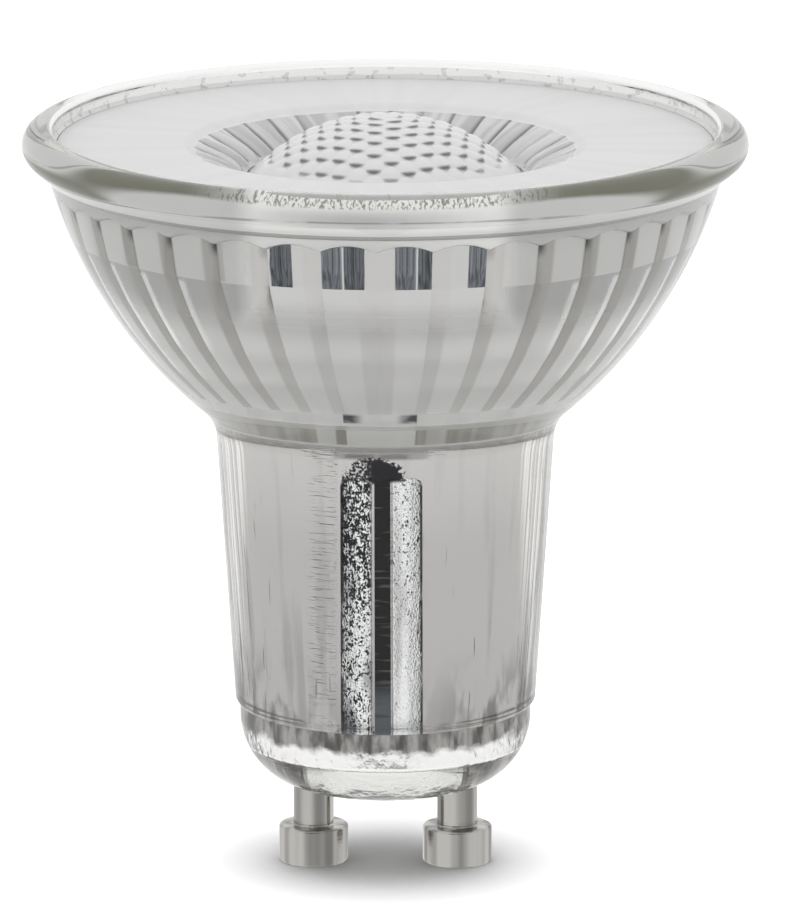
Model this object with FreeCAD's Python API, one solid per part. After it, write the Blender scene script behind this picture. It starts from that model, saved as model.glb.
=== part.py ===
# LED spotlight bulb with a two-pin twist-lock base, millimetres, +Z up.
# The pin heads stand on z = 0, the axis of the bulb is the Z axis, and the pins lie along X.
import FreeCAD
import Part
import math
import os
from FreeCAD import Vector

os.makedirs("parts", exist_ok=True)

# Contact pins
PIN_SPACING = 10.0
PIN_HEAD_RADIUS = 2.4
PIN_HEAD_HEIGHT = 2.6
PIN_EDGE_BREAK = 0.2
PIN_SHANK_RADIUS = 1.4
PIN_SHANK_LENGTH = 3.1
PIN_HOLE_CLEARANCE = 0.05
PIN_FLARE_RADIUS = 1.7
PIN_FLARE_HEIGHT = 0.5
PIN_BORE_FLOOR = 1.0

# Glass, outside
BASE_STEP = 0.32
BASE_ROUND = 5.0
BASE_HEIGHT = 5.8
NECK_BOTTOM_RADIUS = 10.42
NECK_TOP_RADIUS = 11.75
NECK_STEP = 0.35
NECK_HEIGHT = 20.1
BOWL_HEIGHT = 17.3
BOWL_CURVE = 33.0
RIM_RADIUS = 25.0
RIM_HEIGHT = 3.3
RIM_ROUND = 1.25
RIM_PROUD = 1.8
RIM_WALL = 2.15

# Glass, inside
BASE_FLOOR = 3.0
BASE_LEDGE = 0.62
BASE_CORNER = 0.3
NECK_WALL = 1.5
THROAT_HEIGHT = 3.1
LEDGE_WIDTH = 2.3
FOOT_HEIGHT = 1.1
INNER_BOWL_CURVE = 20.0
BOWL_ROWS = 4
BAND_HEIGHT = 2.8
BAND_TAPER = 0.1
REED_COUNT = 36
REED_DEPTH_TOP = 0.21
REED_DEPTH_BOTTOM = 0.13
ARCH_RISE = 0.45
LIP_WIDTH = 0.85
LIP_HEIGHT = 1.4
SEAT_WIDTH = 1.15

# Guide ribs for the driver board
RIB_WIDTH = 2.0
RIB_DEPTH = 1.2
RIB_TOP_GAP = 1.9
RIB_ROUND = 0.8
SLOT_CLEARANCE = 0.125
OVERCUT = 1.0

# Front lens
LENS_SINK = 1.2
LENS_FLANGE = 1.6
LENS_EDGE_GAP = 0.25
RECESS_RADIUS = 13.9
RECESS_DEPTH = 2.3
RECESS_FLUTES = 36
RECESS_FLUTE_DEPTH = 0.35
DOME_RADIUS = 9.4
DOME_CURVE = 12.7
DOME_PITCH = 1.33
MOAT_WIDTH = 0.5
COLLIMATOR_TOP_RADIUS = 12.8
COLLIMATOR_BOTTOM_RADIUS = 5.0
COLLIMATOR_CURVE = 30.0
POCKET_RADIUS = 3.9
POCKET_DEPTH = 4.2
POCKET_CROWN = 0.9
SEALANT_PROUD = 0.3

# LED module
SPREADER_THICKNESS = 0.8
SPREADER_CLEARANCE = 0.12
SPREADER_RISE = 4.0
PAD_THICKNESS = 0.2
PAD_INSET = 0.3
LED_BOARD_GAP = 0.98
LED_BOARD_THICKNESS = 1.0
DAM_RADIUS = 3.4
DAM_WIDTH = 0.5
DAM_HEIGHT = 0.6
PHOSPHOR_HEIGHT = 0.45
LENS_TO_BOARD = 0.9

# Leads
LEAD_RADIUS = 0.5
LEAD_HOLE_CLEARANCE = 0.3
LEAD_BEND = 1.2
LED_LEAD_RIB_GAP = 0.95
LED_LEAD_LENGTH_ON_BOARD = 3.0
LED_LEAD_FOOT = 2.2
MAINS_LEAD_HEIGHT_LEFT = 3.4
MAINS_LEAD_HEIGHT_RIGHT = 5.6

# Driver board and its components
BOARD_THICKNESS = 1.0
BOARD_EDGE_CLEARANCE = 0.15
BOARD_TOP_GAP = 1.7
PACKAGE_RIB_GAP = 0.6
RESISTOR_RIB_GAP = 0.4
COMPONENT_GAP = 0.3
COMPONENT_LEAD_RADIUS = 0.28
COMPONENT_LEAD_DROP = 0.9
COMPONENT_LEAD_BEND = 0.6
BULK_CAN_RADIUS = 3.15
BULK_CAN_LENGTH = 11.0
BULK_CAN_Y = 2.6
BULK_CAN_Z = 7.9
OUTPUT_CAN_RADIUS = 2.0
OUTPUT_CAN_LENGTH = 7.0
OUTPUT_CAN_Y = -3.8
OUTPUT_CAN_Z = 12.0
CAN_GROOVE = 0.3
CAN_GROOVE_HEIGHT = 1.0
CAN_EDGE = 0.4
FUSE_RADIUS = 1.2
FUSE_WAIST = 1.0
FUSE_LENGTH = 6.0
FUSE_CAP_LENGTH = 1.3
FUSE_Y = -4.6
FUSE_Z = 6.0
CORE_RADIUS = 3.6
CORE_HEIGHT = 5.6
CORE_FLANGE = 0.8
CORE_WAIST = 1.5
CORE_Y = 3.0
CORE_Z = 14.7
WINDING_RADIUS = 3.1
PACKAGE_LIFT = 0.2
PACKAGE_LEAD = 0.2
PACKAGE_FOOT = 0.8
BRIDGE_HEIGHT = 2.4
BRIDGE_WIDTH = 4.0
BRIDGE_LENGTH = 4.8
BRIDGE_LEAD_COUNT = 2
BRIDGE_LEAD_WIDTH = 0.6
BRIDGE_LEAD_PITCH = 2.6
BRIDGE_Z = 6.7
CHIP_HEIGHT = 1.5
CHIP_WIDTH = 3.9
CHIP_LENGTH = 4.9
CHIP_LEAD_COUNT = 4
CHIP_LEAD_WIDTH = 0.45
CHIP_LEAD_PITCH = 1.27
CHIP_Z = 6.7
DIODE_HEIGHT = 2.1
DIODE_WIDTH = 2.6
DIODE_LENGTH = 4.2
DIODE_LEAD_COUNT = 1
DIODE_LEAD_WIDTH = 1.4
DIODE_Y = -4.6
DIODE_FROM_TOP = 3.2
RESISTOR_HEIGHT = 0.55
RESISTOR_WIDTH = 1.6
RESISTOR_LENGTH = 3.0
START_RESISTOR_LOW_Z = 10.1
START_RESISTOR_HIGH_Z = 14.1
SENSE_RESISTOR_Z = 11.2
BLEED_RESISTOR_Y = -2.2
BLEED_RESISTOR_Z = 4.0

# Heights that follow from the sizes above
base_z = PIN_HEAD_HEIGHT + PIN_SHANK_LENGTH
step_z = base_z + BASE_HEIGHT
shoulder_z = step_z + NECK_HEIGHT
bead_z = shoulder_z + BOWL_HEIGHT
rim_z = bead_z + RIM_HEIGHT
floor_z = base_z + BASE_FLOOR
throat_z = shoulder_z + THROAT_HEIGHT
foot_z = throat_z + FOOT_HEIGHT
lens_z = rim_z - LENS_SINK
seat_z = lens_z - LENS_FLANGE
band_top_z = seat_z - LIP_HEIGHT
band_z = band_top_z - BAND_HEIGHT
recess_z = lens_z - RECESS_DEPTH

# Radii that follow from the sizes above
neck_inner_bottom = NECK_BOTTOM_RADIUS - NECK_WALL
neck_inner_top = NECK_TOP_RADIUS - NECK_WALL
base_radius = NECK_BOTTOM_RADIUS - BASE_STEP
base_inner = neck_inner_bottom - BASE_LEDGE
ledge_radius = neck_inner_top + LEDGE_WIDTH
bowl_radius = RIM_RADIUS - RIM_PROUD
seat_radius = RIM_RADIUS - RIM_WALL
lip_radius = seat_radius - SEAT_WIDTH
band_top_radius = lip_radius - LIP_WIDTH
inner_bowl_radius = band_top_radius - BAND_TAPER
lens_radius = seat_radius - LENS_EDGE_GAP
slot_half = BOARD_THICKNESS / 2 + SLOT_CLEARANCE
pin_x = PIN_SPACING / 2
half = BOARD_THICKNESS / 2
rib_line = neck_inner_bottom - RIB_DEPTH
axis = Vector(0, 0, 1)


# A closed outline in the plane of radius and height, turned about the axis.
# A step (r, z) is a straight line, a step ((r, z), (r, z)) is an arc through its first point.
def turned(start, *steps):
    edges = []
    here = Vector(start[0], 0, start[1])
    for step in steps + (start,):
        if isinstance(step[0], tuple):
            middle = Vector(step[0][0], 0, step[0][1])
            there = Vector(step[1][0], 0, step[1][1])
            edges.append(Part.Arc(here, middle, there).toShape())
        else:
            there = Vector(step[0], 0, step[1])
            if there.distanceToPoint(here) > 1e-6:
                edges.append(Part.makeLine(here, there))
        here = there
    face = Part.Face(Part.Wire(edges))
    return face.revolve(Vector(0, 0, 0), axis, 360)


# The centre of an arc from p to q that bulges to the right of the way from p to q.
def arc_centre(p, q, radius):
    dx = q[0] - p[0]
    dz = q[1] - p[1]
    reach = math.hypot(dx, dz) / 2
    drop = math.sqrt(radius * radius - reach * reach)
    return ((p[0] + q[0]) / 2 - dz / (2 * reach) * drop, (p[1] + q[1]) / 2 + dx / (2 * reach) * drop)


# A point on that arc, a share of the way from p to q along it.
def along(p, q, radius, share):
    cx, cz = arc_centre(p, q, radius)
    a = math.atan2(p[1] - cz, p[0] - cx)
    b = math.atan2(q[1] - cz, q[0] - cx)
    angle = a + (b - a) * share
    return (cx + radius * math.cos(angle), cz + radius * math.sin(angle))


# A flat ring of arcs that bulge inward between cusps on the given radius.
def reeded(cusp_radius, depth, z):
    edges = []
    turn = 2 * math.pi / REED_COUNT
    for i in range(REED_COUNT):
        a = i * turn
        points = []
        for angle, radius in ((a, cusp_radius), (a + turn / 2, cusp_radius - depth), (a + turn, cusp_radius)):
            points.append(Vector(radius * math.cos(angle), radius * math.sin(angle), z))
        edges.append(Part.Arc(*points).toShape())
    return Part.Wire(edges)


# A flat star of straight edges, its outer points on the given radius.
def star(radius, depth, z):
    points = []
    for i in range(2 * RECESS_FLUTES + 1):
        a = i * math.pi / RECESS_FLUTES
        r = radius - depth * (i % 2)
        points.append(Vector(r * math.cos(a), r * math.sin(a), z))
    return Part.makePolygon(points)


# A block on one face of the board, centred on y and z: height off the board, width in y, length in z.
def block(height, width, length, side, y, z):
    x = half if side > 0 else -half - height
    return Part.makeBox(height, width, length, Vector(x, y - width / 2, z - length / 2))


# A round wire along points, with a bend at each inner point.
def wire(points, radius, bend):
    edges = []
    here = points[0]
    for before, corner, after in zip(points, points[1:], points[2:]):
        back = (before - corner).normalize()
        onward = (after - corner).normalize()
        start = corner + back * bend
        end = corner + onward * bend
        centre = corner + (back + onward) * bend
        middle = centre + (corner - centre).normalize() * bend
        edges.append(Part.makeLine(here, start))
        edges.append(Part.Arc(start, middle, end).toShape())
        here = end
    edges.append(Part.makeLine(here, points[-1]))
    spine = Part.Wire(edges)
    ring = Part.Wire(Part.makeCircle(radius, points[0], points[1] - points[0]))
    return spine.makePipeShell([ring], True, False)


def cylinder(radius, x, y, z0, z1):
    return Part.makeCylinder(radius, z1 - z0, Vector(x, y, z0), axis)


# The glass, outside: rounded base, stepped neck, curved bowl and a round bead at the rim.
bowl_foot = (NECK_TOP_RADIUS, shoulder_z)
bowl_head = (bowl_radius, bead_z)
bead_x = RIM_RADIUS - RIM_ROUND
bead_y = rim_z - RIM_ROUND
corner45 = RIM_ROUND * math.sqrt(0.5)
base45 = BASE_ROUND * (1 - math.sqrt(0.5))
lip_round = (RIM_RADIUS - RIM_ROUND - seat_radius) * 0.45
outside = turned(
    (0, base_z),
    (base_radius - BASE_ROUND, base_z),
    ((base_radius - base45, base_z + base45), (base_radius, base_z + BASE_ROUND)),
    (base_radius, step_z),
    (NECK_BOTTOM_RADIUS, step_z + NECK_STEP),
    bowl_foot,
    (along(bowl_foot, bowl_head, BOWL_CURVE, 0.5), bowl_head),
    (bead_x + corner45, bead_y - corner45),
    ((RIM_RADIUS, bead_y), (bead_x, rim_z)),
    (seat_radius + lip_round, rim_z),
    ((seat_radius + lip_round * 0.293, rim_z - lip_round * 0.293), (seat_radius, rim_z - lip_round)),
    (seat_radius, lens_z),
    (0, lens_z),
)

# The hollow of the base and the neck, less the guide ribs that stay in the glass.
corner = BASE_CORNER
base_hollow = turned(
    (0, floor_z),
    (base_inner - corner, floor_z),
    ((base_inner - corner * 0.293, floor_z + corner * 0.293), (base_inner, floor_z + corner)),
    (base_inner, step_z),
    (0, step_z),
)
neck_hollow = turned(
    (0, step_z),
    (neck_inner_bottom, step_z),
    (neck_inner_top, shoulder_z),
    (neck_inner_top, throat_z),
    (0, throat_z),
)
rib_core = turned(
    (0, step_z - OVERCUT),
    (neck_inner_bottom - RIB_DEPTH, step_z - OVERCUT),
    (neck_inner_bottom - RIB_DEPTH, step_z),
    (neck_inner_top - RIB_DEPTH, shoulder_z),
    (0, shoulder_z),
)
rib_top = shoulder_z - RIB_TOP_GAP
rib_length = 2 * NECK_TOP_RADIUS
for side in (-1, 1):
    near = side * slot_half
    far = side * (slot_half + RIB_WIDTH)
    turn_in = side * RIB_ROUND
    p = [
        Vector(near, -rib_length / 2, step_z),
        Vector(far, -rib_length / 2, step_z),
        Vector(far, -rib_length / 2, rib_top - RIB_ROUND),
        Vector(far - turn_in * 0.293, -rib_length / 2, rib_top - RIB_ROUND * 0.293),
        Vector(far - turn_in, -rib_length / 2, rib_top),
        Vector(near, -rib_length / 2, rib_top),
    ]
    edges = [Part.makeLine(p[0], p[1]), Part.makeLine(p[1], p[2]), Part.Arc(p[2], p[3], p[4]).toShape()]
    edges = edges + [Part.makeLine(p[4], p[5]), Part.makeLine(p[5], p[0])]
    rib = Part.Face(Part.Wire(edges)).extrude(Vector(0, rib_length, 0)).cut(rib_core)
    neck_hollow = neck_hollow.cut(rib)

# The reeded hollow of the bowl: an upright foot, sloping rows, and an upright band whose reeds end in arches.
inner_foot = (ledge_radius, foot_z)
inner_head = (inner_bowl_radius, band_z)
rows = [(ledge_radius, throat_z, REED_DEPTH_BOTTOM)]
for k in range(BOWL_ROWS + 1):
    share = k / BOWL_ROWS
    r, z = along(inner_foot, inner_head, INNER_BOWL_CURVE, share)
    rows.append((r, z, REED_DEPTH_BOTTOM + (REED_DEPTH_TOP - REED_DEPTH_BOTTOM) * share))
rows.append((band_top_radius, band_top_z + ARCH_RISE, REED_DEPTH_TOP))
bowl_hollow = Part.makeLoft([reeded(r, depth, z) for r, z, depth in rows], True, True)
mouth = turned(
    (0, band_top_z),
    (lip_radius, band_top_z),
    (lip_radius, seat_z),
    (seat_radius, seat_z),
    (seat_radius, lens_z + OVERCUT),
    (0, lens_z + OVERCUT),
)
arch_half = band_top_radius * math.sin(math.pi / REED_COUNT)
arch_radius = (arch_half * arch_half + ARCH_RISE * ARCH_RISE) / (2 * ARCH_RISE)
arch_z = band_top_z + ARCH_RISE - arch_radius
arch_inner = band_top_radius - REED_DEPTH_TOP - OVERCUT
arch_length = lip_radius + OVERCUT - arch_inner
for i in range(REED_COUNT):
    a = (i + 0.5) * 2 * math.pi / REED_COUNT
    outward = Vector(math.cos(a), math.sin(a), 0)
    arch = Part.makeCylinder(arch_radius, arch_length, outward * arch_inner + axis * arch_z, outward)
    mouth = mouth.cut(arch)
glass = outside
for hollow in (base_hollow, neck_hollow, bowl_hollow, mouth):
    glass = glass.cut(hollow)
pin_hole = PIN_SHANK_RADIUS + PIN_HOLE_CLEARANCE
for x in (-pin_x, pin_x):
    glass = glass.cut(cylinder(pin_hole, x, 0, base_z - OVERCUT, floor_z + OVERCUT))


# A contact pin: button head, shank through the base, flared end on the inner floor, blind bore for the lead.
def contact_pin(x):
    e = PIN_EDGE_BREAK
    top = floor_z + PIN_FLARE_HEIGHT
    pin = turned(
        (0, 0),
        (PIN_HEAD_RADIUS - e, 0),
        (PIN_HEAD_RADIUS, e),
        (PIN_HEAD_RADIUS, PIN_HEAD_HEIGHT - e),
        (PIN_HEAD_RADIUS - e, PIN_HEAD_HEIGHT),
        (PIN_SHANK_RADIUS, PIN_HEAD_HEIGHT),
        (PIN_SHANK_RADIUS, floor_z),
        (PIN_FLARE_RADIUS, floor_z),
        (PIN_FLARE_RADIUS, top),
        (LEAD_RADIUS, top),
        (LEAD_RADIUS, PIN_HEAD_HEIGHT + PIN_BORE_FLOOR),
        (0, PIN_HEAD_HEIGHT + PIN_BORE_FLOOR),
    )
    pin.translate(Vector(x, 0, 0))
    return pin


# The dome of flat hexagonal facets, each tangent to one sphere at a point of a grid laid over that sphere.
def faceted_dome(under_z):
    drop = math.sqrt(DOME_CURVE * DOME_CURVE - DOME_RADIUS * DOME_RADIUS)
    centre_z = recess_z - drop
    around = ((1, 0), (0, 1), (-1, 1), (-1, 0), (0, -1), (1, -1))
    column = DOME_PITCH * math.sqrt(0.75)

    def spot(i, j):
        return (column * (j + 0.5), DOME_PITCH * (i + j / 2.0 + 0.25))

    def plane(i, j):
        x, y = spot(i, j)
        lean = math.hypot(x, y) / DOME_CURVE
        heading = math.atan2(y, x)
        side = math.sin(lean)
        n = Vector(side * math.cos(heading), side * math.sin(heading), math.cos(lean))
        return n, n.z * centre_z + DOME_CURVE

    corners = {}

    def meet(cells):
        key = tuple(sorted(cells))
        if key not in corners:
            (n1, d1), (n2, d2), (n3, d3) = [plane(*cell) for cell in key]
            point = n2.cross(n3) * d1 + n3.cross(n1) * d2 + n1.cross(n2) * d3
            corners[key] = point * (1.0 / n1.dot(n2.cross(n3)))
        return key

    spread = DOME_CURVE * math.asin(DOME_RADIUS / DOME_CURVE) + 0.6 * DOME_PITCH
    reach = 2 * math.ceil(spread / DOME_PITCH) + 1
    faces = []
    edge_owner = {}
    for i in range(-reach, reach + 1):
        for j in range(-reach, reach + 1):
            if math.hypot(*spot(i, j)) > spread:
                continue
            ring = []
            for k in range(6):
                a = around[k]
                b = around[(k + 1) % 6]
                ring.append(meet(((i, j), (i + a[0], j + a[1]), (i + b[0], j + b[1]))))
            points = [corners[key] for key in ring]
            faces.append(Part.Face(Part.makePolygon(points + points[:1])))
            for k in range(6):
                edge = (ring[k], ring[(k + 1) % 6])
                if edge[::-1] in edge_owner:
                    del edge_owner[edge[::-1]]
                else:
                    edge_owner[edge] = True
    following = dict(edge_owner.keys())
    key = next(iter(following))
    outline = []
    for step in range(len(following)):
        outline.append(key)
        key = following[key]
    ground = [Vector(corners[k].x, corners[k].y, under_z) for k in outline]
    faces.append(Part.Face(Part.makePolygon(ground + ground[:1])))
    for k in range(len(outline)):
        m = (k + 1) % len(outline)
        wall = [corners[outline[k]], corners[outline[m]], ground[m], ground[k]]
        faces.append(Part.Face(Part.makePolygon(wall + wall[:1])))
    shell = Part.makeShell(faces)
    shell.sewShape()
    dome = Part.makeSolid(shell)
    if dome.Volume < 0:
        dome.reverse()
    return dome.common(cylinder(DOME_RADIUS, 0, 0, under_z, under_z + DOME_CURVE))


# The levels of the LED module, from the ledge up.
spreader_top = throat_z + SPREADER_THICKNESS
led_board_z = spreader_top + PAD_THICKNESS
led_board_top = led_board_z + LED_BOARD_THICKNESS
collimator_z = led_board_top + LENS_TO_BOARD
pocket_z = collimator_z + POCKET_DEPTH

# The front lens: flange and collimator turned, fluted recess cut with a star, faceted dome added.
horn_foot = (COLLIMATOR_BOTTOM_RADIUS, collimator_z)
horn_head = (COLLIMATOR_TOP_RADIUS, seat_z)
lens = turned(
    (POCKET_RADIUS, collimator_z),
    horn_foot,
    (along(horn_foot, horn_head, COLLIMATOR_CURVE, 0.5), horn_head),
    (lens_radius, seat_z),
    (lens_radius, lens_z),
    (0, lens_z),
    (0, pocket_z - POCKET_CROWN),
    ((POCKET_RADIUS * 0.52, pocket_z - POCKET_CROWN * 0.73), (POCKET_RADIUS, pocket_z)),
)
recess_floor = DOME_RADIUS + MOAT_WIDTH
recess_slope = (RECESS_RADIUS - recess_floor) / RECESS_DEPTH
recess = Part.makeLoft(
    [
        star(recess_floor, RECESS_FLUTE_DEPTH * 0.6, recess_z),
        star(RECESS_RADIUS + recess_slope * OVERCUT, RECESS_FLUTE_DEPTH, lens_z + OVERCUT),
    ],
    True,
    True,
)
lens = lens.cut(recess).fuse(faceted_dome(recess_z - OVERCUT)).removeSplitter()

sealant = turned(
    (lens_radius, seat_z),
    (seat_radius, seat_z),
    (seat_radius, lens_z + SEALANT_PROUD),
    (lens_radius, lens_z),
)


# The clear radius between the reeds at a height within the bowl.
def clear_radius(height):
    for (r0, z0, d0), (r1, z1, d1) in zip(rows, rows[1:]):
        if z0 <= height <= z1:
            share = (height - z0) / (z1 - z0)
            return r0 - d0 + (r1 - d1 - r0 + d0) * share


# The heat spreader: a spun cup that sits on the ledge and follows the bowl without touching the reeds.
cup_z = throat_z + SPREADER_RISE
cup_foot = clear_radius(throat_z) - SPREADER_CLEARANCE
cup_lip = clear_radius(cup_z) - SPREADER_CLEARANCE
t = SPREADER_THICKNESS
spreader = turned(
    (0, throat_z),
    (cup_foot, throat_z),
    (cup_foot, foot_z),
    (cup_lip, cup_z),
    (cup_lip - t * 1.3, cup_z),
    (cup_foot - t, foot_z),
    (cup_foot - t, spreader_top),
    (0, spreader_top),
)
led_board_radius = cup_foot - t - LED_BOARD_GAP
pad = cylinder(led_board_radius - PAD_INSET, 0, 0, spreader_top, led_board_z)
led_board = cylinder(led_board_radius, 0, 0, led_board_z, led_board_top)
lead_x = BOARD_THICKNESS / 2 + LEAD_RADIUS
lead_y = neck_inner_top - RIB_DEPTH - LED_LEAD_RIB_GAP - LEAD_RADIUS
lead_hole = LEAD_RADIUS + LEAD_HOLE_CLEARANCE
for y in (-lead_y, lead_y):
    hole = cylinder(lead_hole, lead_x, y, throat_z - OVERCUT, led_board_top + OVERCUT)
    spreader = spreader.cut(hole)
    pad = pad.cut(hole)
    led_board = led_board.cut(hole)
dam = cylinder(DAM_RADIUS, 0, 0, led_board_top, led_board_top + DAM_HEIGHT)
dam = dam.cut(cylinder(DAM_RADIUS - DAM_WIDTH, 0, 0, led_board_top, led_board_top + DAM_HEIGHT))
phosphor = cylinder(DAM_RADIUS - DAM_WIDTH, 0, 0, led_board_top, led_board_top + PHOSPHOR_HEIGHT)

# The driver board stands on the ledge above the base and slides in the guide slots.
board_top = throat_z - BOARD_TOP_GAP
wide_bottom = neck_inner_bottom - BOARD_EDGE_CLEARANCE
wide_top = neck_inner_top - BOARD_EDGE_CLEARANCE
outline = []
for y, z in (
    (-wide_bottom, step_z),
    (wide_bottom, step_z),
    (wide_top, shoulder_z),
    (wide_top, board_top),
    (-wide_top, board_top),
    (-wide_top, shoulder_z),
    (-wide_bottom, step_z),
):
    outline.append(Vector(-half, y, z))
board = Part.Face(Part.makePolygon(outline)).extrude(Vector(BOARD_THICKNESS, 0, 0))


# A capacitor can lying along the board, its two leads bent into the board below it.
def can(radius, length, side, y, z):
    x = side * (half + COMPONENT_GAP + radius)
    body = turned(
        (0, z),
        (radius, z),
        (radius, z + CAN_GROOVE_HEIGHT),
        (radius - CAN_GROOVE, z + CAN_GROOVE_HEIGHT + CAN_GROOVE),
        (radius, z + CAN_GROOVE_HEIGHT + 2 * CAN_GROOVE),
        (radius, z + length - CAN_EDGE),
        (radius - CAN_EDGE, z + length),
        (0, z + length),
    )
    body.translate(Vector(x, y, 0))
    for dy in (-radius * 0.4, radius * 0.4):
        down = z - COMPONENT_LEAD_DROP
        path = [Vector(x, y + dy, z + CAN_EDGE), Vector(x, y + dy, down), Vector(side * half, y + dy, down)]
        body = body.fuse(wire(path, COMPONENT_LEAD_RADIUS, COMPONENT_LEAD_BEND))
    return body


# A wire-ended resistor lying along the board: two end caps, a narrower middle, a lead bent down at each end.
def wire_ended(side, y, z):
    x = side * (half + COMPONENT_GAP + FUSE_RADIUS)
    slope = FUSE_RADIUS - FUSE_WAIST
    top = z + FUSE_LENGTH
    body = turned(
        (0, z),
        (FUSE_WAIST, z),
        (FUSE_RADIUS, z + 2 * slope),
        (FUSE_RADIUS, z + FUSE_CAP_LENGTH),
        (FUSE_WAIST, z + FUSE_CAP_LENGTH + 2 * slope),
        (FUSE_WAIST, top - FUSE_CAP_LENGTH - 2 * slope),
        (FUSE_RADIUS, top - FUSE_CAP_LENGTH),
        (FUSE_RADIUS, top - 2 * slope),
        (FUSE_WAIST, top),
        (0, top),
    )
    body.translate(Vector(x, y, 0))
    inside = FUSE_CAP_LENGTH / 2
    for start, end in ((z + inside, z - COMPONENT_LEAD_DROP), (top - inside, top + COMPONENT_LEAD_DROP)):
        path = [Vector(x, y, start), Vector(x, y, end), Vector(side * half, y, end)]
        body = body.fuse(wire(path, COMPONENT_LEAD_RADIUS, COMPONENT_LEAD_BEND))
    return body


# A moulded package with flat leads that come down to the board on both sides.
def package(height, width, length, side, y, z, count, lead_width, pitch):
    body = block(height - PACKAGE_LIFT, width, length, side, y, z)
    body.translate(Vector(side * PACKAGE_LIFT, 0, 0))
    t = PACKAGE_LEAD
    for k in range(count):
        lead_z = z + (k - (count - 1) / 2.0) * pitch
        for turn in (-1, 1):
            foot_y = y + turn * (width / 2 + PACKAGE_FOOT / 2)
            leg_y = y + turn * (width / 2 + t / 2)
            body = body.fuse(block(t, PACKAGE_FOOT, lead_width, side, foot_y, lead_z))
            body = body.fuse(block(height / 2, t, lead_width, side, leg_y, lead_z))
    return body.removeSplitter()


bridge_y = rib_line - PACKAGE_RIB_GAP - PACKAGE_FOOT - BRIDGE_WIDTH / 2
chip_y = rib_line - PACKAGE_RIB_GAP - PACKAGE_FOOT - CHIP_WIDTH / 2
resistor_y = rib_line - RESISTOR_RIB_GAP - RESISTOR_WIDTH / 2
bulk = can(BULK_CAN_RADIUS, BULK_CAN_LENGTH, 1, BULK_CAN_Y, step_z + BULK_CAN_Z)
output_can = can(OUTPUT_CAN_RADIUS, OUTPUT_CAN_LENGTH, -1, OUTPUT_CAN_Y, step_z + OUTPUT_CAN_Z)
fuse = wire_ended(1, FUSE_Y, step_z + FUSE_Z)
bridge_z = step_z + BRIDGE_Z
chip_z = step_z + CHIP_Z
diode_z = board_top - DIODE_FROM_TOP
bridge = package(
    BRIDGE_HEIGHT, BRIDGE_WIDTH, BRIDGE_LENGTH, -1, bridge_y, bridge_z,
    BRIDGE_LEAD_COUNT, BRIDGE_LEAD_WIDTH, BRIDGE_LEAD_PITCH,
)
chip = package(
    CHIP_HEIGHT, CHIP_WIDTH, CHIP_LENGTH, -1, -chip_y, chip_z,
    CHIP_LEAD_COUNT, CHIP_LEAD_WIDTH, CHIP_LEAD_PITCH,
)
diode = package(
    DIODE_HEIGHT, DIODE_WIDTH, DIODE_LENGTH, 1, DIODE_Y, diode_z,
    DIODE_LEAD_COUNT, DIODE_LEAD_WIDTH, 0,
)
core = turned(
    (0, 0),
    (CORE_RADIUS, 0),
    (CORE_RADIUS, CORE_FLANGE),
    (CORE_WAIST, CORE_FLANGE),
    (CORE_WAIST, CORE_HEIGHT - CORE_FLANGE),
    (CORE_RADIUS, CORE_HEIGHT - CORE_FLANGE),
    (CORE_RADIUS, CORE_HEIGHT),
    (0, CORE_HEIGHT),
)
winding = turned(
    (CORE_WAIST, CORE_FLANGE),
    (WINDING_RADIUS, CORE_FLANGE),
    (WINDING_RADIUS, CORE_HEIGHT - CORE_FLANGE),
    (CORE_WAIST, CORE_HEIGHT - CORE_FLANGE),
)
for coil in (core, winding):
    coil.rotate(Vector(0, 0, 0), Vector(0, 1, 0), -90)
    coil.translate(Vector(-half, CORE_Y, step_z + CORE_Z))


def resistor(side, y, height):
    return block(RESISTOR_HEIGHT, RESISTOR_WIDTH, RESISTOR_LENGTH, side, y, step_z + height)


# Leads: from each pin's bore up and over into a hole of the board, and from the board up to the LED board.
lead_top = led_board_top + LEAD_RADIUS
mains = {}
for name, sign, height in (("left", -1, MAINS_LEAD_HEIGHT_LEFT), ("right", 1, MAINS_LEAD_HEIGHT_RIGHT)):
    z = step_z + height
    path = [
        Vector(sign * pin_x, 0, PIN_HEAD_HEIGHT + PIN_BORE_FLOOR),
        Vector(sign * pin_x, 0, z),
        Vector(-sign * half, 0, z),
    ]
    mains[name] = wire(path, LEAD_RADIUS, LEAD_BEND)
    board = board.cut(Part.makeCylinder(LEAD_RADIUS, BOARD_THICKNESS, Vector(-half, 0, z), Vector(1, 0, 0)))
led_leads = {}
for name, sign in (("negative", -1), ("positive", 1)):
    path = [
        Vector(lead_x, sign * lead_y, board_top - LED_LEAD_LENGTH_ON_BOARD),
        Vector(lead_x, sign * lead_y, lead_top),
        Vector(lead_x, sign * (lead_y - LED_LEAD_FOOT), lead_top),
    ]
    led_leads[name] = wire(path, LEAD_RADIUS, LEAD_RADIUS + LEAD_HOLE_CLEARANCE)

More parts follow.
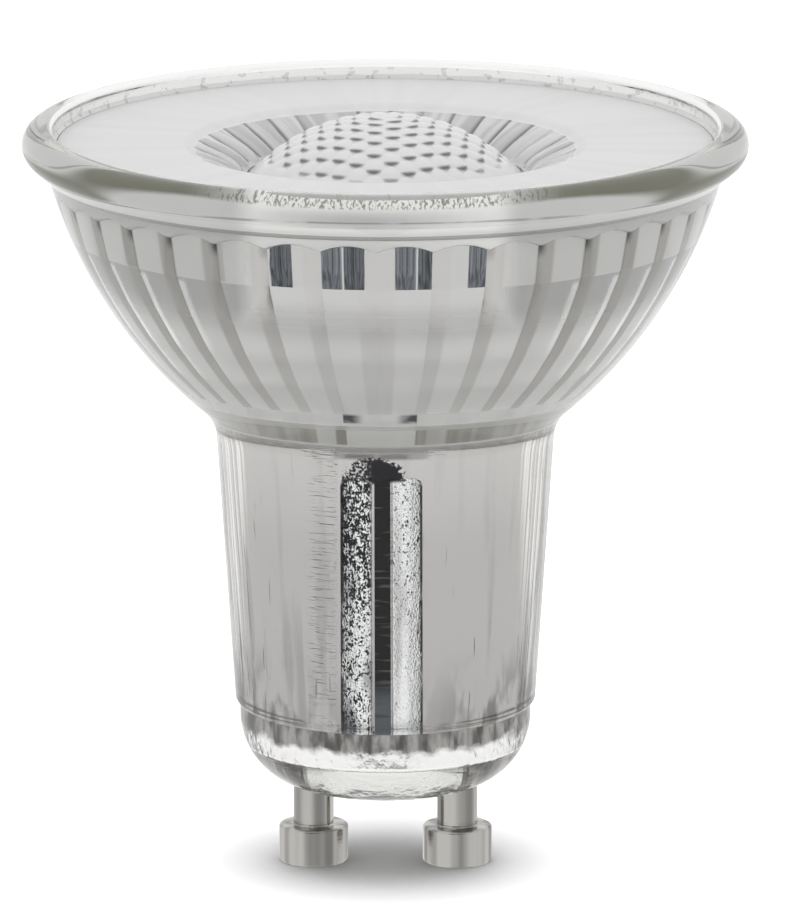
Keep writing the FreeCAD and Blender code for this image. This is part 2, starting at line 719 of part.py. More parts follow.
pieces = {
    "glass_reflector": glass,
    "front_lens": lens,
    "lens_sealant": sealant,
    "contact_pin_left": contact_pin(-pin_x),
    "contact_pin_right": contact_pin(pin_x),
    "heat_spreader": spreader,
    "thermal_pad": pad,
    "led_board": led_board,
    "emitter_dam": dam,
    "emitter_phosphor": phosphor,
    "driver_board": board,
    "fuse_resistor": fuse,
    "bridge_rectifier": bridge,
    "bulk_capacitor": bulk,
    "output_capacitor": output_can,
    "inductor_core": core,
    "inductor_winding": winding,
    "driver_chip": chip,
    "recovery_diode": diode,
    "start_resistor_lower": resistor(1, resistor_y, START_RESISTOR_LOW_Z),
    "start_resistor_upper": resistor(1, resistor_y, START_RESISTOR_HIGH_Z),
    "sense_resistor": resistor(-1, -resistor_y, SENSE_RESISTOR_Z),
    "bleed_resistor": resistor(1, BLEED_RESISTOR_Y, BLEED_RESISTOR_Z),
    "mains_lead_left": mains["left"],
    "mains_lead_right": mains["right"],
    "led_lead_positive": led_leads["positive"],
    "led_lead_negative": led_leads["negative"],
}
for name, shape in pieces.items():
    shape.exportStep("parts/" + name + ".step")
    print(name, len(shape.Solids), round(shape.Volume, 2), shape.isValid())
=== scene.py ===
# %% [markdown]
# # A reflector spotlight bulb in clear pressed glass
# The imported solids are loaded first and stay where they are, in metres. The pieces that show are then
# modelled over them: the glass body with its mirrored reeds, the lens with its dome of small pillows, the
# bead of sealant and the two pins. The pieces inside keep their solids and only get a finish.

# %% Load the frame
import math

import bmesh
import bpy
from mathutils import Matrix, Vector, noise


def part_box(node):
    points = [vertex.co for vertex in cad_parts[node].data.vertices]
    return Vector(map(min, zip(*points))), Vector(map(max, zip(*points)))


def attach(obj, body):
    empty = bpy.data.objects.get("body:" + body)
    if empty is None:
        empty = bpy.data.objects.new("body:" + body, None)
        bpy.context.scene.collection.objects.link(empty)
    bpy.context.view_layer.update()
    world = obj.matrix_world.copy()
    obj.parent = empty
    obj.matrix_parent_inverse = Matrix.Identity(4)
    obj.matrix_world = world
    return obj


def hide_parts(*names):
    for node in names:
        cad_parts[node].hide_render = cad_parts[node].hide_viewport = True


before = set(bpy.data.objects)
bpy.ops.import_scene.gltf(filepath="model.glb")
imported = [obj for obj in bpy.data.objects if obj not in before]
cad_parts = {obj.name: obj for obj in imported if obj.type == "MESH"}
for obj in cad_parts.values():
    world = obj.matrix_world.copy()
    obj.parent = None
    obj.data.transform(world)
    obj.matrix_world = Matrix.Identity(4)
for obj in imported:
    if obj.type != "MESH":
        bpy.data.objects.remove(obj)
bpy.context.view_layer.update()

MM = 0.001
scene = bpy.context.scene
print(len(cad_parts), "solids in the frame")

# %% [markdown]
# ## Levels and radii
# The outside sizes are read from the solids, so the pieces below follow the frame. The wall thicknesses
# and the steps inside the glass are counted from them, in millimetres. You could type every height by
# hand, but then a new rim height would leave half of the pieces behind.

# %% Levels and radii
glass_low, glass_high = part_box("glass_reflector")
pin_low, pin_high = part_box("contact_pin_right")
RIM_RADIUS = round(glass_high.x / MM, 1)
RIM_Z = round(glass_high.z / MM, 1)
BASE_Z = round(glass_low.z / MM, 1)
PIN_X = round((pin_low.x + pin_high.x) / 2 / MM, 1)
HEAD_RADIUS = round((pin_high.x - pin_low.x) / 2 / MM, 1)
PIN_TOP = round(pin_high.z / MM, 1)
FLOOR_Z = BASE_Z + 3.0
STEP_Z = BASE_Z + 5.8
SHOULDER_Z = STEP_Z + 20.1
LEDGE_Z = SHOULDER_Z + 3.1
FOOT_Z = LEDGE_Z + 1.1
BEAD_Z = SHOULDER_Z + 17.3
LENS_Z = RIM_Z - 1.2
SEAT_Z = LENS_Z - 1.6
ARCH_Z = SEAT_Z - 1.4
BAND_Z = ARCH_Z - 2.8
SEAT_RADIUS = RIM_RADIUS - 2.15
LIP_RADIUS = SEAT_RADIUS - 1.15
BAND_RADIUS = LIP_RADIUS - 0.85
LEDGE_RADIUS = 12.55
NECK_TOP = 11.75
NECK_BOTTOM = 10.42
NECK_WALL = 1.5
RIB_INNER = 0.625
RIB_OUTER = 2.625
RIB_TOP = SHOULDER_Z - 1.9
ARCH_RISE = 0.45
GAP = 0.02
print("rim", RIM_RADIUS, RIM_Z, "base", BASE_Z, "pins", PIN_X, HEAD_RADIUS, PIN_TOP)

# %% [markdown]
# ## Helpers for outlines
# A turned piece starts as half an outline, a list of radii and heights. Four small functions give its
# stretches: a circular arc, an arc through two points, a straight line and an eased corner. You could
# place each point by hand, but a formula keeps the round parts round when a size changes.

# %% Helpers for outlines
def arc(cx, cz, radius, start, end, steps):
    points = []
    for k in range(steps + 1):
        a = math.radians(start + (end - start) * k / steps)
        points.append((cx + radius * math.cos(a), cz + radius * math.sin(a)))
    return points


def bowed(p, q, radius, steps):
    dx, dz = q[0] - p[0], q[1] - p[1]
    reach = math.hypot(dx, dz) / 2
    drop = math.sqrt(radius * radius - reach * reach)
    cx = (p[0] + q[0]) / 2 - dz / (2 * reach) * drop
    cz = (p[1] + q[1]) / 2 + dx / (2 * reach) * drop
    a = math.degrees(math.atan2(p[1] - cz, p[0] - cx))
    b = math.degrees(math.atan2(q[1] - cz, q[0] - cx))
    return arc(cx, cz, radius, a, b, steps)


def blended(ends, weights):
    return tuple(sum(w * end[axis] for w, end in zip(weights, ends)) for axis in (0, 1))


def straight(p, q, steps):
    return [blended((p, q), (1 - k / steps, k / steps)) for k in range(steps + 1)]


def eased(p, corner, q, steps):
    shares = [k / steps for k in range(steps + 1)]
    return [blended((p, corner, q), ((1 - t) ** 2, 2 * t * (1 - t), t ** 2)) for t in shares]


def smooth(low, high, x):
    t = min(1.0, max(0.0, (x - low) / (high - low)))
    return t * t * (3 - 2 * t)


print("outline helpers:", [f.__name__ for f in (arc, bowed, straight, eased)])

# %% [markdown]
# ## Helpers for turned pieces
# The outline is spun once round the axis. Each of its points also carries marks in vertex layers, which
# the spin copies all the way round: the zone of finish that it belongs to, how deep its reeds are, and
# how far its reeds' tops arch up. The marks then move the vertices and choose the materials. Cutting each
# reed with a boolean would work too, but it leaves ragged faces, and a moved vertex never does.

# %% Helpers for turned pieces
def marked(points, zone=0, reed=0.0, arch=0.0):
    return [(r, z, zone, reed, arch) for r, z in points]


def spun(outline, steps):
    bm = bmesh.new()
    layers = [bm.verts.layers.float.new(name) for name in ("zone", "reed", "arch", "cusp")]
    verts = []
    for r, z, *marks in outline:
        v = bm.verts.new((0, -r * MM, z * MM))
        for layer, mark in zip(layers, marks):
            v[layer] = mark
        verts.append(v)
    edges = [bm.edges.new(pair) for pair in zip(verts, verts[1:])]
    bmesh.ops.spin(
        bm, geom=verts + edges, cent=(0, 0, 0), axis=(0, 0, 1), angle=2 * math.pi, steps=steps, use_merge=True
    )
    bmesh.ops.remove_doubles(bm, verts=bm.verts, dist=1e-7)
    bmesh.ops.recalc_face_normals(bm, faces=bm.faces)
    return bm


def turned(co, count):
    return (math.atan2(co.y, co.x) + math.pi / 2) / (2 * math.pi) * count


def cut_reeds(bm, count):
    reed = bm.verts.layers.float["reed"]
    arch = bm.verts.layers.float["arch"]
    cusp = bm.verts.layers.float["cusp"]
    for v in bm.verts:
        r = math.hypot(v.co.x, v.co.y)
        if v[reed] or v[arch]:
            u = (turned(v.co, count) % 1.0) * 2 - 1
            v[cusp] = u * u
            share = 1 - v[reed] * MM * (1 - u * u) / r
            v.co = (v.co.x * share, v.co.y * share, v.co.z + v[arch] * MM * (1 - u * u))
    flank = bm.loops.layers.float.new("flank")
    for face in bm.faces:
        if any(v[reed] for v in face.verts):
            centre = face.calc_center_median()
            middle = turned(centre, count)
            for loop in face.loops:
                turn = turned(loop.vert.co, count)
                turn += round((middle - turn) / count) * count
                loop[flank] = (1 - 2 * (turn - math.floor(middle))) * math.copysign(1, centre.x)


def zone_faces(bm):
    zone = bm.verts.layers.float["zone"]
    for face in bm.faces:
        face.material_index = int(min(v[zone] for v in face.verts))


def piece(name, bm, finishes, replaced, slot, sharp=10):
    mesh = bpy.data.meshes.new(name)
    bm.to_mesh(mesh)
    bm.free()
    for finish in finishes:
        mesh.materials.append(finish.material)
    for polygon in mesh.polygons:
        polygon.use_smooth = True
    mesh.set_sharp_from_angle(angle=math.radians(sharp))
    obj = bpy.data.objects.new(name, mesh)
    scene.collection.objects.link(obj)
    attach(obj, "root")
    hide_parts(*replaced)
    print(name, len(mesh.polygons), "faces")


print("piece helpers:", [f.__name__ for f in (marked, spun, cut_reeds, zone_faces, piece)])

# %% [markdown]
# ## Shared node groups
# Three groups serve nearly every finish. `grain` stretches a noise by its own scale and gives a mask
# between two levels. `place` turns Object coordinates into millimetres, a radius and a direction round
# the axis, so that a finish can follow the height or the turn of the piece. `spokes` is a noise on that
# direction, for marks that run outwards. A group is built once, and each material places it with its own
# values.

# %% Shared node groups
def new_group(name, inputs, outputs):
    group = bpy.data.node_groups.new(name, "ShaderNodeTree")
    for label, kind, value in inputs:
        socket = group.interface.new_socket(label, in_out="INPUT", socket_type="NodeSocket" + kind)
        socket.default_value = value
    for label, kind in outputs:
        group.interface.new_socket(label, in_out="OUTPUT", socket_type="NodeSocket" + kind)
    return group, group.nodes.new("NodeGroupInput"), group.nodes.new("NodeGroupOutput")


def add_node(nodes, kind, **settings):
    node = nodes.new("ShaderNode" + kind)
    for name, value in settings.items():
        setattr(node, name, value)
    return node


def noise_mask(group, start, end, vector):
    pattern = add_node(group.nodes, "TexNoise")
    levels = add_node(group.nodes, "MapRange", interpolation_type="SMOOTHSTEP")
    group.links.new(vector, pattern.inputs["Vector"])
    group.links.new(pattern.outputs["Fac"], levels.inputs["Value"])
    group.links.new(start.outputs["Low"], levels.inputs["From Min"])
    group.links.new(start.outputs["High"], levels.inputs["From Max"])
    group.links.new(levels.outputs["Result"], end.inputs["Mask"])
    return pattern


LEVELS = [("Low", "Float", 0.4), ("High", "Float", 0.6)]
grain_group, start, end = new_group(
    "grain", [("Scale", "Vector", (500, 500, 500)), ("Detail", "Float", 3), *LEVELS], [("Mask", "Float")]
)
nodes, links = grain_group.nodes, grain_group.links
coordinates = add_node(nodes, "TexCoord")
stretch = add_node(nodes, "VectorMath", operation="MULTIPLY")
links.new(coordinates.outputs["Object"], stretch.inputs[0])
links.new(start.outputs["Scale"], stretch.inputs[1])
pattern = noise_mask(grain_group, start, end, stretch.outputs[0])
pattern.inputs["Scale"].default_value = 1.0
links.new(start.outputs["Detail"], pattern.inputs["Detail"])

place_group, start, end = new_group(
    "place",
    [],
    [("Across", "Float"), ("Along", "Float"), ("Height", "Float"), ("Radius", "Float"), ("Around", "Vector")],
)
nodes, links = place_group.nodes, place_group.links
coordinates = add_node(nodes, "TexCoord")
to_mm = add_node(nodes, "VectorMath", operation="SCALE")
to_mm.inputs["Scale"].default_value = 1 / MM
split = add_node(nodes, "SeparateXYZ")
level = add_node(nodes, "VectorMath", operation="MULTIPLY")
level.inputs[1].default_value = (1, 1, 0)
length = add_node(nodes, "VectorMath", operation="LENGTH")
unit = add_node(nodes, "VectorMath", operation="NORMALIZE")
links.new(coordinates.outputs["Object"], to_mm.inputs[0])
links.new(to_mm.outputs[0], split.inputs[0])
links.new(to_mm.outputs[0], level.inputs[0])
links.new(level.outputs[0], length.inputs[0])
links.new(level.outputs[0], unit.inputs[0])
for source, target in (("X", "Across"), ("Y", "Along"), ("Z", "Height")):
    links.new(split.outputs[source], end.inputs[target])
links.new(length.outputs["Value"], end.inputs["Radius"])
links.new(unit.outputs[0], end.inputs["Around"])

spokes_group, start, end = new_group("spokes", [("Scale", "Float", 5.0), *LEVELS], [("Mask", "Float")])
where = add_node(spokes_group.nodes, "Group", node_tree=place_group)
pattern = noise_mask(spokes_group, start, end, where.outputs["Around"])
spokes_group.links.new(start.outputs["Scale"], pattern.inputs["Scale"])
print("groups:", [g.name for g in bpy.data.node_groups])

# %% [markdown]
# ## A small kit for finishes
# Each finish is one material around a Principled shader. You could wire each node by hand in the
# editor.

# %% A small kit for finishes
class Finish:
    def __init__(self, name, **values):
        self.material = bpy.data.materials.new(name)
        self.material.use_nodes = True
        self.nodes = self.material.node_tree.nodes
        self.links = self.material.node_tree.links
        self.shader = self.nodes["Principled BSDF"]
        self.output = self.nodes["Material Output"]
        for socket, value in values.items():
            self.set(socket.replace("_", " "), value)

    def set(self, socket, value):
        self.feed(self.shader.inputs[socket], value)

    def feed(self, socket, value):
        if isinstance(value, bpy.types.NodeSocket):
            self.links.new(value, socket)
        else:
            socket.default_value = value

    def group(self, tree, **values):
        node = add_node(self.nodes, "Group", node_tree=tree)
        for name, value in values.items():
            node.inputs[name].default_value = value
        return node.outputs

    def grain(self, scale, low=0.4, high=0.6, detail=3.0):
        return self.group(grain_group, Scale=scale, Detail=detail, Low=low, High=high)["Mask"]

    def around(self, scale, low, high):
        return self.group(spokes_group, Scale=scale, Low=low, High=high)["Mask"]

    def place(self, name):
        return self.group(place_group)[name]

    def attribute(self, name):
        return add_node(self.nodes, "Attribute", attribute_name=name).outputs["Fac"]

    def sums(self, operation, first, *others):
        for other in others:
            node = add_node(self.nodes, "Math", operation=operation)
            self.feed(node.inputs[0], first)
            self.feed(node.inputs[1], other)
            first = node.outputs[0]
        return first

    def both(self, *masks):
        return self.sums("MULTIPLY", *masks)

    def most(self, *masks):
        return self.sums("MAXIMUM", *masks)

    def total(self, *parts):
        return self.sums("ADD", *parts)

    def rest(self, mask):
        return self.sums("SUBTRACT", 1.0, mask)

    def step(self, value, low, high, to_low=0.0, to_high=1.0):
        node = add_node(self.nodes, "MapRange", interpolation_type="SMOOTHSTEP")
        for name, part in (("Value", value), ("From Min", low), ("From Max", high)):
            self.feed(node.inputs[name], part)
        node.inputs["To Min"].default_value = to_low
        node.inputs["To Max"].default_value = to_high
        return node.outputs["Result"]

    def mix(self, share, a, b):
        node = add_node(self.nodes, "Mix", data_type="RGBA")
        self.feed(node.inputs["Factor"], share)
        for socket, colour in ((node.inputs[6], a), (node.inputs[7], b)):
            self.feed(socket, colour if isinstance(colour, bpy.types.NodeSocket) else (*colour, 1))
        return node.outputs[2]

    def bump(self, height, strength, distance):
        node = add_node(self.nodes, "Bump")
        node.inputs["Strength"].default_value = strength
        node.inputs["Distance"].default_value = distance
        self.links.new(height, node.inputs["Height"])
        self.set("Normal", node.outputs["Normal"])

    def glow(self, strength):
        node = add_node(self.nodes, "Emission")
        self.feed(node.inputs["Strength"], strength)
        return node.outputs["Emission"]


print("finish kit ready")

# %% [markdown]
# ## Clear pressed glass
# The body is clear, faintly green glass, thick at the rim and the shoulder. Real pressed glass isn't
# quite flat, so a very shallow bump bends what is seen through it. The green could be a tinted Base
# Color, but that colours thin and thick glass alike. A volume takes a little red and blue out of long
# paths only, so the green shows at the edges.

# %% Clear pressed glass
GLASS_DENSITY = 14.0
glass = Finish("clear_glass", Roughness=0.0, IOR=1.52, Transmission_Weight=1.0)
glass.set("Specular Tint", (0.5, 0.5, 0.5, 1))
glass.set("Base Color", glass.mix(glass.grain((40, 40, 40)), (1.0, 1.0, 1.0), (0.985, 0.99, 0.985)))
glass.bump(glass.grain((120, 120, 120), 0.2, 0.8, 1.0), 0.06, 0.0002)
tint = add_node(glass.nodes, "VolumeAbsorption")
tint.inputs["Color"].default_value = (0.6, 0.63, 0.5, 1)
tint.inputs["Density"].default_value = GLASS_DENSITY
glass.links.new(tint.outputs["Volume"], glass.output.inputs["Volume"])
print("glass density", GLASS_DENSITY)

# %% [markdown]
# ## The aluminised film
# A film of aluminium lies on the inside of the bowl and the neck, so from outside it is a mirror behind
# glass. It isn't the same all over, so its finish is built from masks: where a point is on the bulb, and what
# happens to the film there. Many of the masks are painted light and shade: reflections and shade that the
# glass and the reeds would give are painted into the film's colour. A painted texture could show the same
# marks, but it would need an unwrapped bowl and a picture file.
#
# On the neck the film is drawn into fine upright lines. Beside the guide ribs it has short level ripples.

# %% Film: places, lines and ripples
film = Finish("aluminised_film")
step, mix, grain, around = film.step, film.mix, film.grain, film.around
both, most, total, rest = film.both, film.most, film.total, film.rest
across = film.place("Across")
height = film.place("Height")
radius = film.place("Radius")
flank = film.attribute("flank")
sideways = film.sums("ABSOLUTE", across, 0.0)
on_neck = step(height, SHOULDER_Z + 1.3, SHOULDER_Z + 0.8)
above_foot = step(height, FOOT_Z - 0.02, FOOT_Z + 0.05)
below_ledge = step(height, LEDGE_Z - 0.01, LEDGE_Z - 0.05)
lines = most(grain((900, 900, 7), 0.52, 0.7, 5.0), grain((2300, 2300, 7), 0.66, 0.71, 2.0))
lines = both(lines, step(height, SHOULDER_Z, STEP_Z + 2.0, 0.2, 1.0), on_neck)
BESIDE_RIBS, RIPPLES_END = 2.7, 5.4
ripples = both(
    grain((600, 600, 5000), 0.3, 0.7, 2.0),
    step(sideways, BESIDE_RIBS, BESIDE_RIBS + 0.4),
    step(sideways, RIPPLES_END, RIPPLES_END - 1.2),
    step(across, 0.5, -0.5, 0.3, 1.0),
)
print("film masks on the neck:", len(film.nodes), "nodes")

# %% [markdown]
# On the faces of the two guide ribs the film is patchy, more so on the left rib and towards the top. The
# patches are two noises added up, with a threshold that leans to one side. Above the slot the film is gone in
# a half ellipse with a ragged edge, and a dark line runs down the outer edge of each rib. Where the film is
# gone, the dark behind it is painted shade, a near-black colour on the film, and the line along each rib's
# edge is painted shade too.

# %% Film: bare patches
CAP_X, CAP_Z, CAP_HALF, CAP_HIGH = -0.5, RIB_TOP - 0.1, 1.95, 1.8
on_rib = both(
    step(sideways, RIB_INNER, RIB_INNER + 0.1),
    step(sideways, RIB_OUTER, RIB_OUTER - 0.15),
    step(height, RIB_TOP + 0.05, RIB_TOP - 0.25),
)
mottle = both(grain((3000, 3000, 1700), 0.0, 1.0, 3.0), 0.4)
mottle = total(mottle, both(grain((9000, 9000, 5200), 0.0, 1.0, 5.0), 0.6))
lean = step(across, -0.5, 0.5, 0.0, -0.14)
rise = step(height, STEP_Z + 4.0, RIB_TOP - 4.0, -0.06, 0.025)
bare = both(step(total(mottle, lean, rise), 0.47, 0.53), on_rib)
cap_x = film.sums("DIVIDE", film.sums("SUBTRACT", across, CAP_X), CAP_HALF)
cap_z = film.sums("DIVIDE", film.sums("SUBTRACT", height, CAP_Z), CAP_HIGH)
cap = total(both(cap_x, cap_x), both(cap_z, cap_z))
cap = total(cap, both(grain((4200, 4200, 3200), 0.3, 0.7, 5.0), 0.5))
cap = both(step(cap, 1.3, 1.18), step(height, RIB_TOP - 0.5, RIB_TOP - 0.2))
flecks = both(grain((6500, 6500, 5000), 0.5, 0.56, 4.0), step(across, CAP_X, CAP_X - 0.8))
rib_edge_shade = both(
    step(sideways, RIB_OUTER - 0.28, RIB_OUTER - 0.18),
    step(sideways, RIB_OUTER + 0.08, RIB_OUTER),
    step(height, RIB_TOP - 0.2, RIB_TOP - 0.7),
    grain((300, 300, 500), 0.35, 0.5, 3.0),
)
# Painted shade: the gaps in the film, the cap above the slot and the rib edges turn near black.
painted_inside_shade = most(bare, both(rib_edge_shade, 0.9), both(cap, rest(flecks)))
print("film masks on the ribs:", len(film.nodes), "nodes")

# %% [markdown]
# The bowl's film is painted brightest low down, greyer in the upright band under the rim and paler at the
# band's sides; these tones are painted light. Near the lens it is painted with the dark olive that the thick
# rim shows edge-on, a painted shade, broken into specks at the front. Thin lines mark the seat of the lens.
# Each reed has a dull strip on the flank nearer the front, a dark line in its cusp and a dark stroke under
# its arch, and all of them grow towards the sides of the bulb, where the reeds turn away: painted shade and
# reflection of what each reed mirrors.

# %% Film: tones of the rim and the bowl
SIDE_START, SIDE_FULL = 7.6, 9.6
SPECKS_START, SPECKS_FULL = 13.0, 7.0
# Painted light: near white low in the bowl, grey in the band and paler at the band's sides.
film_tone_and_painted_light = mix(step(height, BAND_Z - 4.5, BAND_Z - 1.5), (0.99, 0.985, 0.98), (0.6, 0.595, 0.595))
film_tone_and_painted_light = mix(step(radius, BAND_RADIUS + 0.2, BAND_RADIUS + 0.4), film_tone_and_painted_light, (0.97, 0.965, 0.95))
band_side_light = both(step(sideways, SIDE_START, SIDE_FULL), step(height, BAND_Z - 0.05, BAND_Z + 0.05))
film_tone_and_painted_light = mix(band_side_light, film_tone_and_painted_light, (0.88, 0.875, 0.87))
rim_height = total(height, step(sideways, 11.0, 20.0, 0.0, 0.29))
rim_side = step(sideways, SPECKS_FULL, SPECKS_START)
# Painted shade: dark olive near the lens, full at the sides and in specks at the front.
painted_rim_shade = both(
    step(rim_height, LENS_Z - 0.2, LENS_Z - 0.1),
    step(radius, SEAT_RADIUS - 0.3, SEAT_RADIUS - 0.1),
    most(rim_side, grain((6000, 6000, 9000), 0.46, 0.62, 5.0)),
)
film_tone_and_painted_light = mix(painted_rim_shade, film_tone_and_painted_light, mix(rim_side, (0.36, 0.355, 0.32), (0.24, 0.24, 0.18)))
joint = both(step(height, SEAT_Z - 0.12, SEAT_Z - 0.02), step(height, SEAT_Z + 0.16, SEAT_Z + 0.06))
seam = both(step(height, LENS_Z - 0.53, LENS_Z - 0.51), step(height, LENS_Z - 0.48, LENS_Z - 0.5))
joint = most(joint, both(seam, around(6.0, 0.3, 0.5)))
film_tone_and_painted_light = mix(both(joint, 0.55), film_tone_and_painted_light, (0.2, 0.2, 0.18))
in_bowl = both(above_foot, step(height, ARCH_Z + 0.6, ARCH_Z + 0.5))
# Painted shade and reflection on each reed: a dull strip, a dark cusp line and a dark stroke under the arch.
painted_dull_strips = both(step(flank, 0.2, 0.4), step(sideways, 1.0, 13.0, 0.25, 0.85), in_bowl)
film_tone_and_painted_light = mix(painted_dull_strips, film_tone_and_painted_light, (0.56, 0.545, 0.515))
painted_cusp_shade = both(step(film.attribute("cusp"), 0.84, 1.0), step(sideways, 5.0, 15.0, 0.0, 0.6), in_bowl)
film_tone_and_painted_light = mix(painted_cusp_shade, film_tone_and_painted_light, (0.25, 0.25, 0.23))
painted_arch_shade = both(step(flank, 0.55, 0.95), step(height, ARCH_Z - 1.1, ARCH_Z - 0.1))
painted_arch_shade = both(painted_arch_shade, step(sideways, 6.0, 9.0, 0.0, 0.9), in_bowl)
film_tone_and_painted_light = mix(painted_arch_shade, film_tone_and_painted_light, (0.05, 0.05, 0.045))
print("film tones of the bowl:", len(film.nodes), "nodes")

# %% [markdown]
# Between the bowl and the neck lies the throat. Its film is painted olive grey, a painted shade, with pale
# panes at the front and two dark spots on the foot above them, which are painted reflections. The neck is a
# greyer mirror, with painted highlights in streaks along its edges; it grows darker towards the bottom and is
# stained towards the base.

# %% Film: tones of the throat and the neck
PANE_HALF, SIDE_PANE_IN, SIDE_PANE_OUT = 2.2, 2.7, 4.1
SPOT_IN, SPOT_OUT = 0.9, 2.4
NECK_EDGE = 8.5
in_throat = both(step(height, SHOULDER_Z + 1.2, SHOULDER_Z + 1.5), below_ledge)
# Painted reflections: pale panes in the throat.
painted_panes = both(
    step(sideways, SIDE_PANE_IN, SIDE_PANE_IN + 0.2),
    step(sideways, SIDE_PANE_OUT, SIDE_PANE_OUT - 0.2),
    step(across, -0.5, 0.5, 0.8, 0.5),
)
painted_panes = most(painted_panes, step(sideways, PANE_HALF, PANE_HALF - 0.1))
# Painted shade: the throat's olive grey.
throat_shade_tone = mix(around(12.0, 0.4, 0.6), (0.43, 0.42, 0.385), (0.58, 0.57, 0.53))
film_tone_and_painted_light = mix(in_throat, film_tone_and_painted_light, mix(painted_panes, throat_shade_tone, (0.99, 0.985, 0.96)))
# Painted reflections: two dark spots on the foot.
spots = both(
    step(sideways, SPOT_IN, SPOT_IN + 1.0),
    step(sideways, SPOT_OUT, SPOT_OUT - 0.1),
    step(height, LEDGE_Z + 0.15, LEDGE_Z + 0.4),
    step(height, FOOT_Z + 0.1, FOOT_Z - 0.15),
    grain((900, 900, 1500), 0.2, 0.45, 4.0),
)
film_tone_and_painted_light = mix(spots, film_tone_and_painted_light, (0.02, 0.02, 0.02))
neck_rise = step(height, STEP_Z + 12.0, SHOULDER_Z - 1.0)
neck_tone = mix(neck_rise, (0.485, 0.472, 0.463), (0.56, 0.545, 0.535))
# Painted highlights: pale streaks along the neck's edges.
painted_reflection_streaks = both(step(sideways, NECK_EDGE, NECK_EDGE + 0.7), around(34.0, 0.44, 0.54))
film_tone_and_painted_light = mix(on_neck, film_tone_and_painted_light, mix(painted_reflection_streaks, neck_tone, (0.9, 0.89, 0.88)))
film_tone_and_painted_light = mix(step(height, STEP_Z + 9.0, STEP_Z, 0.0, 0.3), film_tone_and_painted_light, (0.42, 0.41, 0.4))
stain = both(grain((800, 800, 260), 0.43, 0.6, 7.0), step(height, STEP_Z + 6.0, STEP_Z))
stain = both(stain, step(sideways, BESIDE_RIBS, 7.0, 0.3, 1.0))
film_tone_and_painted_light = mix(both(stain, 0.8), film_tone_and_painted_light, (0.12, 0.115, 0.11))
rib_tone = both(step(across, 0.5, -0.5), grain((500, 500, 140), 0.4, 0.6, 3.0))
rib_tone = both(rib_tone, step(height, RIB_TOP - 6.0, RIB_TOP - 9.0))
film_tone_and_painted_light = mix(on_rib, film_tone_and_painted_light, mix(rib_tone, (0.95, 0.955, 0.96), (0.42, 0.44, 0.47)))
film_tone_and_painted_light = mix(both(lines, 0.6), film_tone_and_painted_light, (0.3, 0.29, 0.28))
film.set("Base Color", mix(painted_inside_shade, film_tone_and_painted_light, (0.012, 0.012, 0.016)))
print("film tones of the neck:", len(film.nodes), "nodes")

# %% [markdown]
# Where the glass under it is rough the film is cloudy, and where it is smooth it is a mirror. The lower
# bowl, the sides and the throat are mostly cloudy, while the front of the band, the neck and a thin strip
# of each side reed are mirrors. In the shader that is a share of Metallic, because a cloudy film scatters
# light as paint does. The lines and ripples also go to a Bump node, so that the neck's reflections break
# up.

# %% Film: shine and relief
cloud = grain((130, 130, 90), 0.35, 0.65, 2.0)
bowl = both(step(height, BAND_Z - 4.0, BAND_Z - 0.1, 0.3, 0.0), above_foot)
throat = both(
    step(height, SHOULDER_Z + 0.8, SHOULDER_Z + 1.3, 0.08, 0.35),
    step(height, LEDGE_Z + 0.02, LEDGE_Z),
)
seat = most(
    step(height, ARCH_Z + ARCH_RISE, ARCH_Z + ARCH_RISE + 0.05, 0.0, 0.4),
    step(radius, BAND_RADIUS + 0.3, BAND_RADIUS + 0.4, 0.0, 0.4),
)
film.set("Roughness", total(bowl, seat, throat, step(cloud, 0.0, 1.0, 0.02, 0.04)))
haze = step(height, BAND_Z - 3.5, BAND_Z - 0.6, 0.8, 0.0)
haze = most(haze, step(sideways, SIDE_START, SIDE_FULL, 0.0, 0.9))
haze = both(haze, step(height, LEDGE_Z - 0.06, LEDGE_Z - 0.02))
mirror_strip = both(step(flank, -0.6, -0.8), step(sideways, 9.0, 14.0), step(height, BAND_Z, BAND_Z - 0.5))
haze = both(haze, rest(mirror_strip))
shade = both(step(height, SHOULDER_Z + 0.3, SHOULDER_Z + 0.9), below_ledge)
over_cap = both(step(sideways, 3.4, 2.6), step(height, SHOULDER_Z - 0.5, SHOULDER_Z - 0.2), below_ledge)
haze = total(haze, both(most(shade, over_cap), 0.7))
film.set("Metallic", rest(haze))
relief = both(total(both(lines, 0.5), both(ripples, 0.8)), on_neck)
film.bump(total(relief, both(mottle, on_rib, 3.0)), 0.35, 0.00012)
print("film finished:", len(film.nodes), "nodes")

# %% [markdown]
# ## The bare slot and the lining of the base
# Between the ribs the film is missing: the edge of the driver's board sits there in the dark, with faint
# level marks. Its finish is opaque and nearly black, lighter towards the bottom: partly the board's own dark
# edge, partly painted shade of the inside. The floor of the base has no film either. It is lined with a pale
# compound that holds the pins, and that makes the clear base look bright. The dark band at the top of the
# lining, where it meets the neck, is painted shade. Both could be pieces of their own, but they lie flat on
# the glass, so two more finishes on the same mesh are enough.

# %% The bare slot and the lining
slot_dark = Finish("bare_slot", Roughness=0.4, Specular_IOR_Level=0.1)
marks = slot_dark.grain((300, 300, 3600), 0.56, 0.66, 4.0)
low_end = slot_dark.step(slot_dark.place("Height"), STEP_Z + 4.0, STEP_Z + 2.0)
# Painted shade: the slot is near black, lighter towards the bottom.
painted_slot_shade = slot_dark.mix(low_end, (0.006, 0.006, 0.008), (0.16, 0.18, 0.21))
slot_dark.set("Base Color", slot_dark.mix(marks, painted_slot_shade, (0.11, 0.115, 0.12)))
slot_dark.bump(marks, 0.3, 0.0001)

lining = Finish("base_lining", Metallic=1.0, Roughness=0.2)
specks = lining.grain((1500, 1500, 1500), 0.6, 0.7, 5.0)
